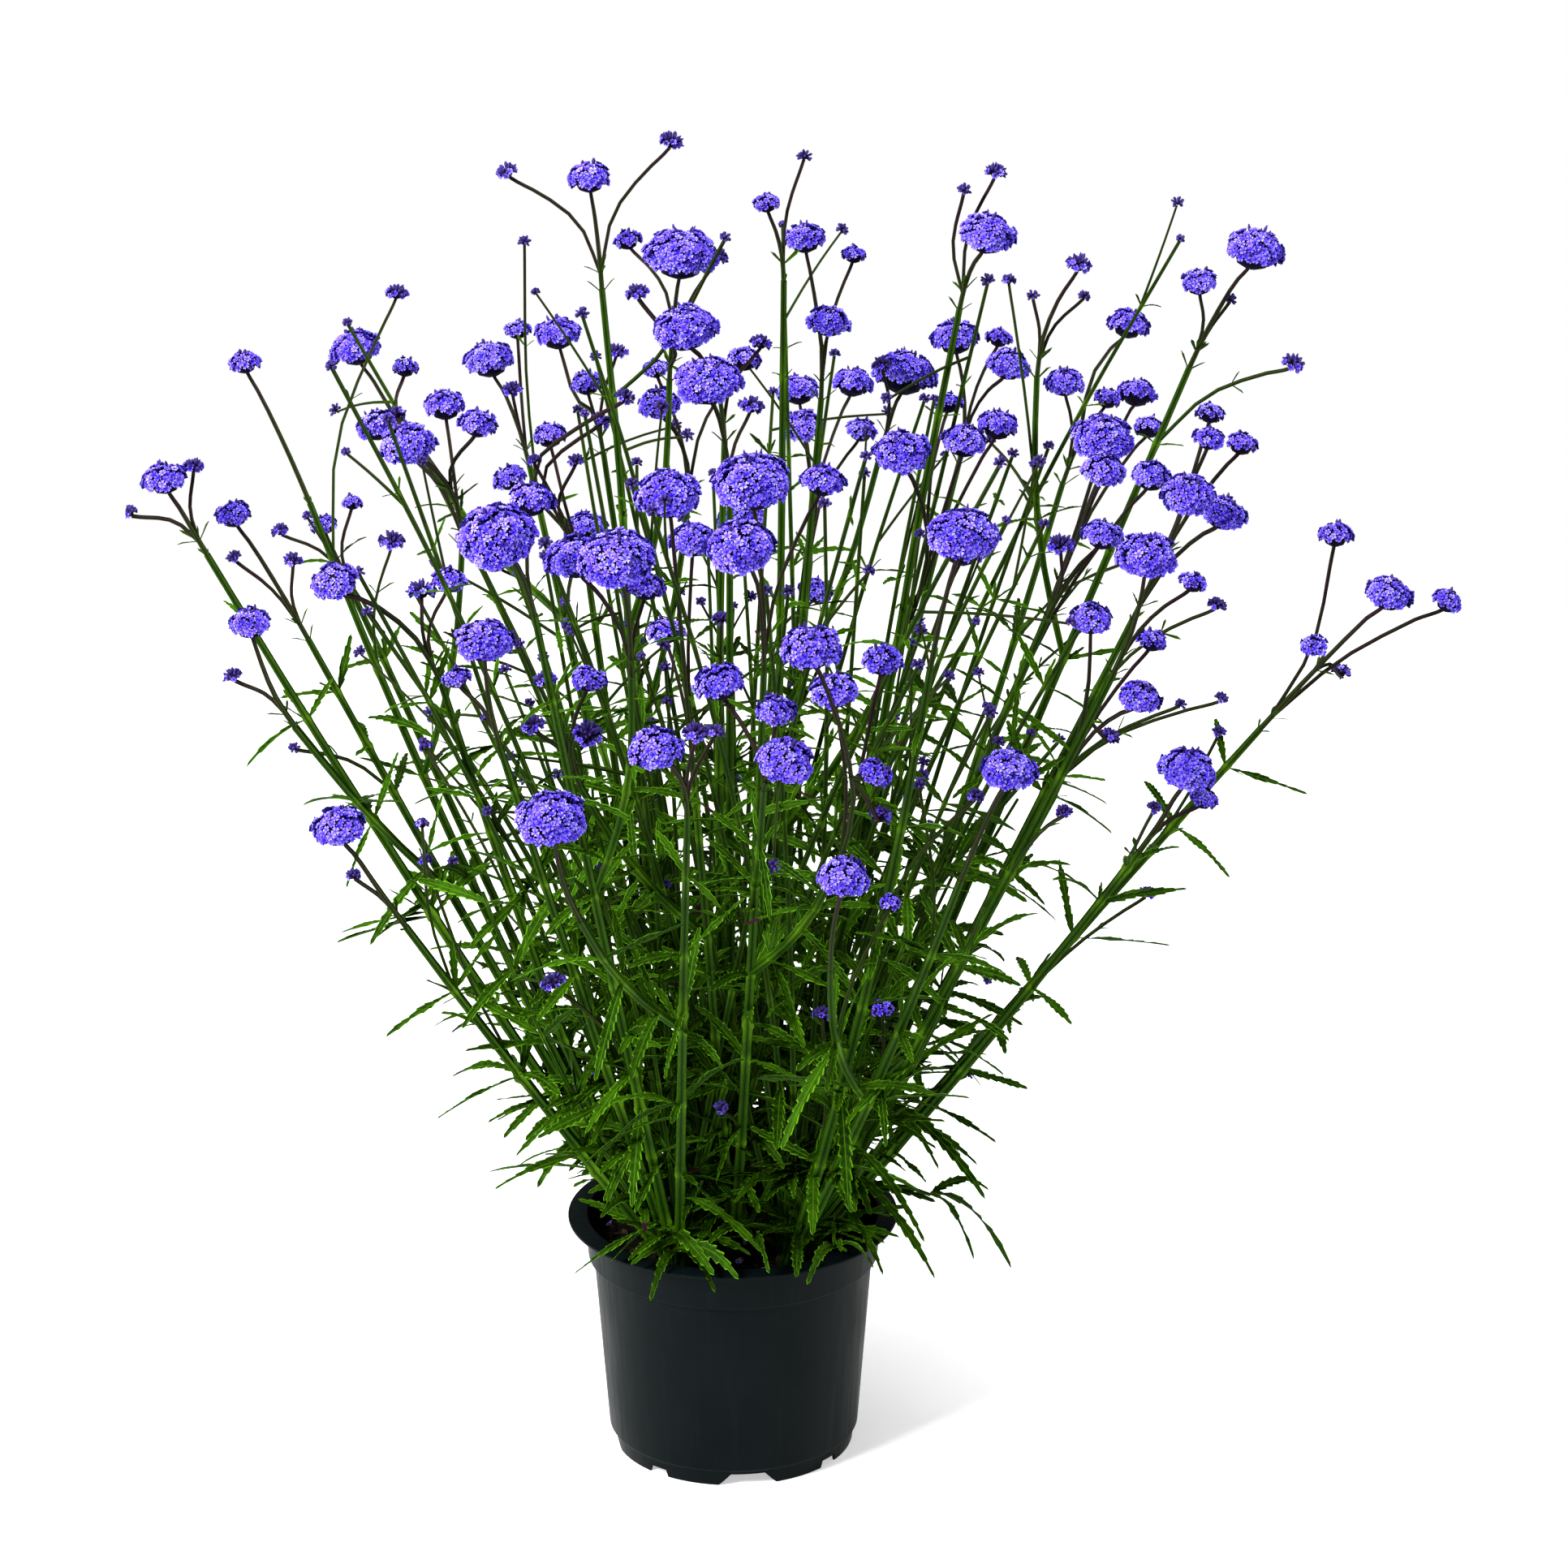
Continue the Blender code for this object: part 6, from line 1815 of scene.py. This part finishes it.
def make_looks():
    """Every material of the plant and its pot, by a short name."""
    petal = petal_look("petal_violet", [
        (0.0, (0.01, 0.005, 0.1)), (0.2, (0.025, 0.012, 0.28)), (0.4, (0.1, 0.055, 0.85)),
        (0.64, (0.175, 0.1, 1.0)), (1.0, (0.31, 0.21, 1.0)),
    ], (0.46, 0.42, 1.0), 0.6)
    # The trumpets: near-black at the foot and dim blue at the rim, painted shade deep in the head and between
    # the florets.
    under = petal_look("tube_painted_shade", [
        (0.0, (0.002, 0.0015, 0.014)), (0.6, (0.006, 0.004, 0.06)), (1.0, (0.03, 0.018, 0.26)),
    ], (0.05, 0.04, 0.4), 0.3)
    fallen = [(0.0, (0.06, 0.03, 0.12)), (0.3, (0.2, 0.15, 0.4)), (1.0, (0.42, 0.34, 0.72))]
    stalk = stalk_look("stalk_dark", (0.02, 0.05, 0.002), (0.026, 0.009, 0.016), (0.05, 0.09, 0.01))
    bud = dark_look("bud_purple", (0.012, 0.006, 0.025), (0.055, 0.035, 0.22), 500, 0.55)
    calyx = dark_look("calyx_purple", (0.014, 0.009, 0.02), (0.05, 0.022, 0.09), 600, 0.6)
    # The core stands for the calyces packed inside a head, in a near-black navy that paints the shade there.
    core = dark_look("core_navy_painted_shade", (0.003, 0.002, 0.012), (0.014, 0.01, 0.06), 400, 0.8)
    stem = stalk_look("stem_green", (0.0175, 0.058, 0.0015), (0.024, 0.011, 0.011), (0.09, 0.22, 0.005))
    crown = dark_look("crown_wood", (0.012, 0.012, 0.005), (0.05, 0.06, 0.02), 250, 0.75)
    # The deep colour is the painted shade of the leaves' middles, and the light one is the painted highlight
    # of their edges.
    leaf = leaf_look("leaf_green", (0.0025, 0.014, 0.0004), (0.095, 0.27, 0.006), (0.08, 0.2, 0.006), 0.5)
    back = leaf_look("leaf_under", (0.006, 0.022, 0.001), (0.035, 0.1, 0.003), (0.06, 0.13, 0.01), 0.65)
    return {
        "stem": stem, "crown": crown, "leaf": leaf, "leaf_under": back,
        "bloom": [stalk, petal, under, bud, calyx, core, leaf, back],
        "fallen": petal_look("petal_faded", fallen, (0.6, 0.55, 0.8), 0.6),
        "soil": soil_look(), "crumb": crumb_look(), "pot": pot_look(),
    }


def soil_look():
    """Damp dark compost with paler grains."""
    look = Look("soil_dark", Specular_IOR_Level=0.06)
    tree = look.tree
    coarse, fine = grain(tree, 180, 5.0), grain(tree, 1400, 4.0)
    colour = ramp(tree, coarse, [
        (0.3, (0.001, 0.0008, 0.0007)), (0.55, (0.005, 0.0035, 0.0022)), (0.75, (0.017, 0.012, 0.007)),
    ])
    height = calc(tree, "ADD", coarse, fine)
    return look.done(colour, varied(tree, fine, 0.8, 1.0), height, 0.9 * MM)


def crumb_look():
    """Crumbs from dark to bark brown, with a few reddish ones, and lighter fibres."""
    look = Look("crumb_dark", Specular_IOR_Level=0.06)
    tree = look.tree
    _, who, fibre = look.tints()
    fine = grain(tree, 1200)
    dark = ramp(tree, who, [
        (0.0, (0.003, 0.0024, 0.002)), (0.6, (0.014, 0.01, 0.006)), (0.85, (0.05, 0.035, 0.018)),
        (0.93, (0.07, 0.012, 0.022)), (1.0, (0.09, 0.07, 0.04)),
    ])
    colour = mix(tree, calc(tree, "MULTIPLY", fibre, 0.5), dark, (0.07, 0.04, 0.02))
    colour = mix(tree, varied(tree, fine, 0, 0.5), colour, (0.004, 0.003, 0.002))
    return look.done(colour, varied(tree, fine, 0.75, 0.98), fine, 0.5 * MM)


def pot_look():
    """Satin black plastic with fine upright mould lines."""
    look = Look("pot_black", Specular_IOR_Level=0.03)
    tree = look.tree
    coarse, fine = grain(tree, 22, 3.0), grain(tree, 900, 2.0)
    streak = grain(tree, 260, 2.0, (1, 1, 0.04))
    colour = ramp(tree, coarse, [(0.3, (0.0016, 0.0034, 0.0038)), (0.7, (0.0028, 0.0052, 0.0057))])
    colour = mix(tree, spread(tree, streak, 0.55, 0.75, 0, 0.35), colour, (0.005, 0.008, 0.0085))
    rough = varied(tree, coarse, 0.36, 0.46)
    rough = calc(tree, "ADD", rough, spread(tree, streak, 0.4, 0.7, -0.03, 0.08))
    return look.done(colour, rough, calc(tree, "ADD", fine, streak), 0.04 * MM, 0.35)


# Stage

def make_floor():
    mesh = bpy.data.meshes.new("floor")
    rim = [polar(FLOOR_RADIUS, 360 * k / FLOOR_SIDES, 0) for k in range(FLOOR_SIDES)]
    mesh.from_pydata(rim, [], [tuple(range(FLOOR_SIDES))])
    floor = bpy.data.objects.new("floor", mesh)
    bpy.context.scene.collection.objects.link(floor)
    look = Look("floor_pale", Specular_IOR_Level=0.1, Emission_Color=(1, 1, 1, 1), Emission_Strength=0.5)
    colour = ramp(look.tree, grain(look.tree, 3), [(0.3, (0.86, 0.86, 0.86)), (0.7, (0.9, 0.9, 0.9))])
    rough = varied(look.tree, grain(look.tree, 40), 0.7, 0.8)
    mesh.materials.append(look.done(colour, rough, grain(look.tree, 400), 0.05 * MM, 0.2))
    floor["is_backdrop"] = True


def make_light():
    """A white surround that lights the plant less than it shows, and three soft lamps."""
    world = bpy.data.worlds.new("studio")
    world.use_nodes = True
    background = world.node_tree.nodes["Background"]
    seen = add_node(world.node_tree, "ShaderNodeLightPath").outputs["Is Camera Ray"]
    strength = spread(world.node_tree, seen, 0.0, 1.0, LIGHT_AROUND, 1.0)
    world.node_tree.links.new(strength, background.inputs[1])
    background.inputs[0].default_value = (1, 1, 1, 1)
    bpy.context.scene.world = world
    for name, place, size, power in LAMPS:
        light = bpy.data.lights.new(name, "AREA")
        light.size = size
        light.energy = power
        lamp = bpy.data.objects.new(name, light)
        lamp.location = place
        lamp.rotation_euler = (Vector(AIM) - Vector(place)).to_track_quat("-Z", "Y").to_euler()
        bpy.context.scene.collection.objects.link(lamp)


def make_camera():
    camera = bpy.data.cameras.new("camera")
    camera.sensor_width = SENSOR_WIDTH
    camera.lens = FOCAL_PIXELS / PHOTO_SIDE * SENSOR_WIDTH
    view = bpy.data.objects.new("camera", camera)
    view.location = CAMERA_PLACE
    view.rotation_euler = CAMERA_TURN
    bpy.context.scene.collection.objects.link(view)
    bpy.context.scene.camera = view
    bpy.context.scene.view_settings.view_transform = "Standard"


lines, heads, leaves = plan()
settle(lines, heads, leaves)
looks = make_looks()
make_pot(looks)
make_soil(looks)
for number, base in enumerate(crowns(), 1):
    make_crown(number, base, lines, heads, leaves, looks)
for number in range(1, len(TRUSSES) + 1):
    make_truss(number, lines, heads, looks)
make_floor()
make_light()
make_camera()
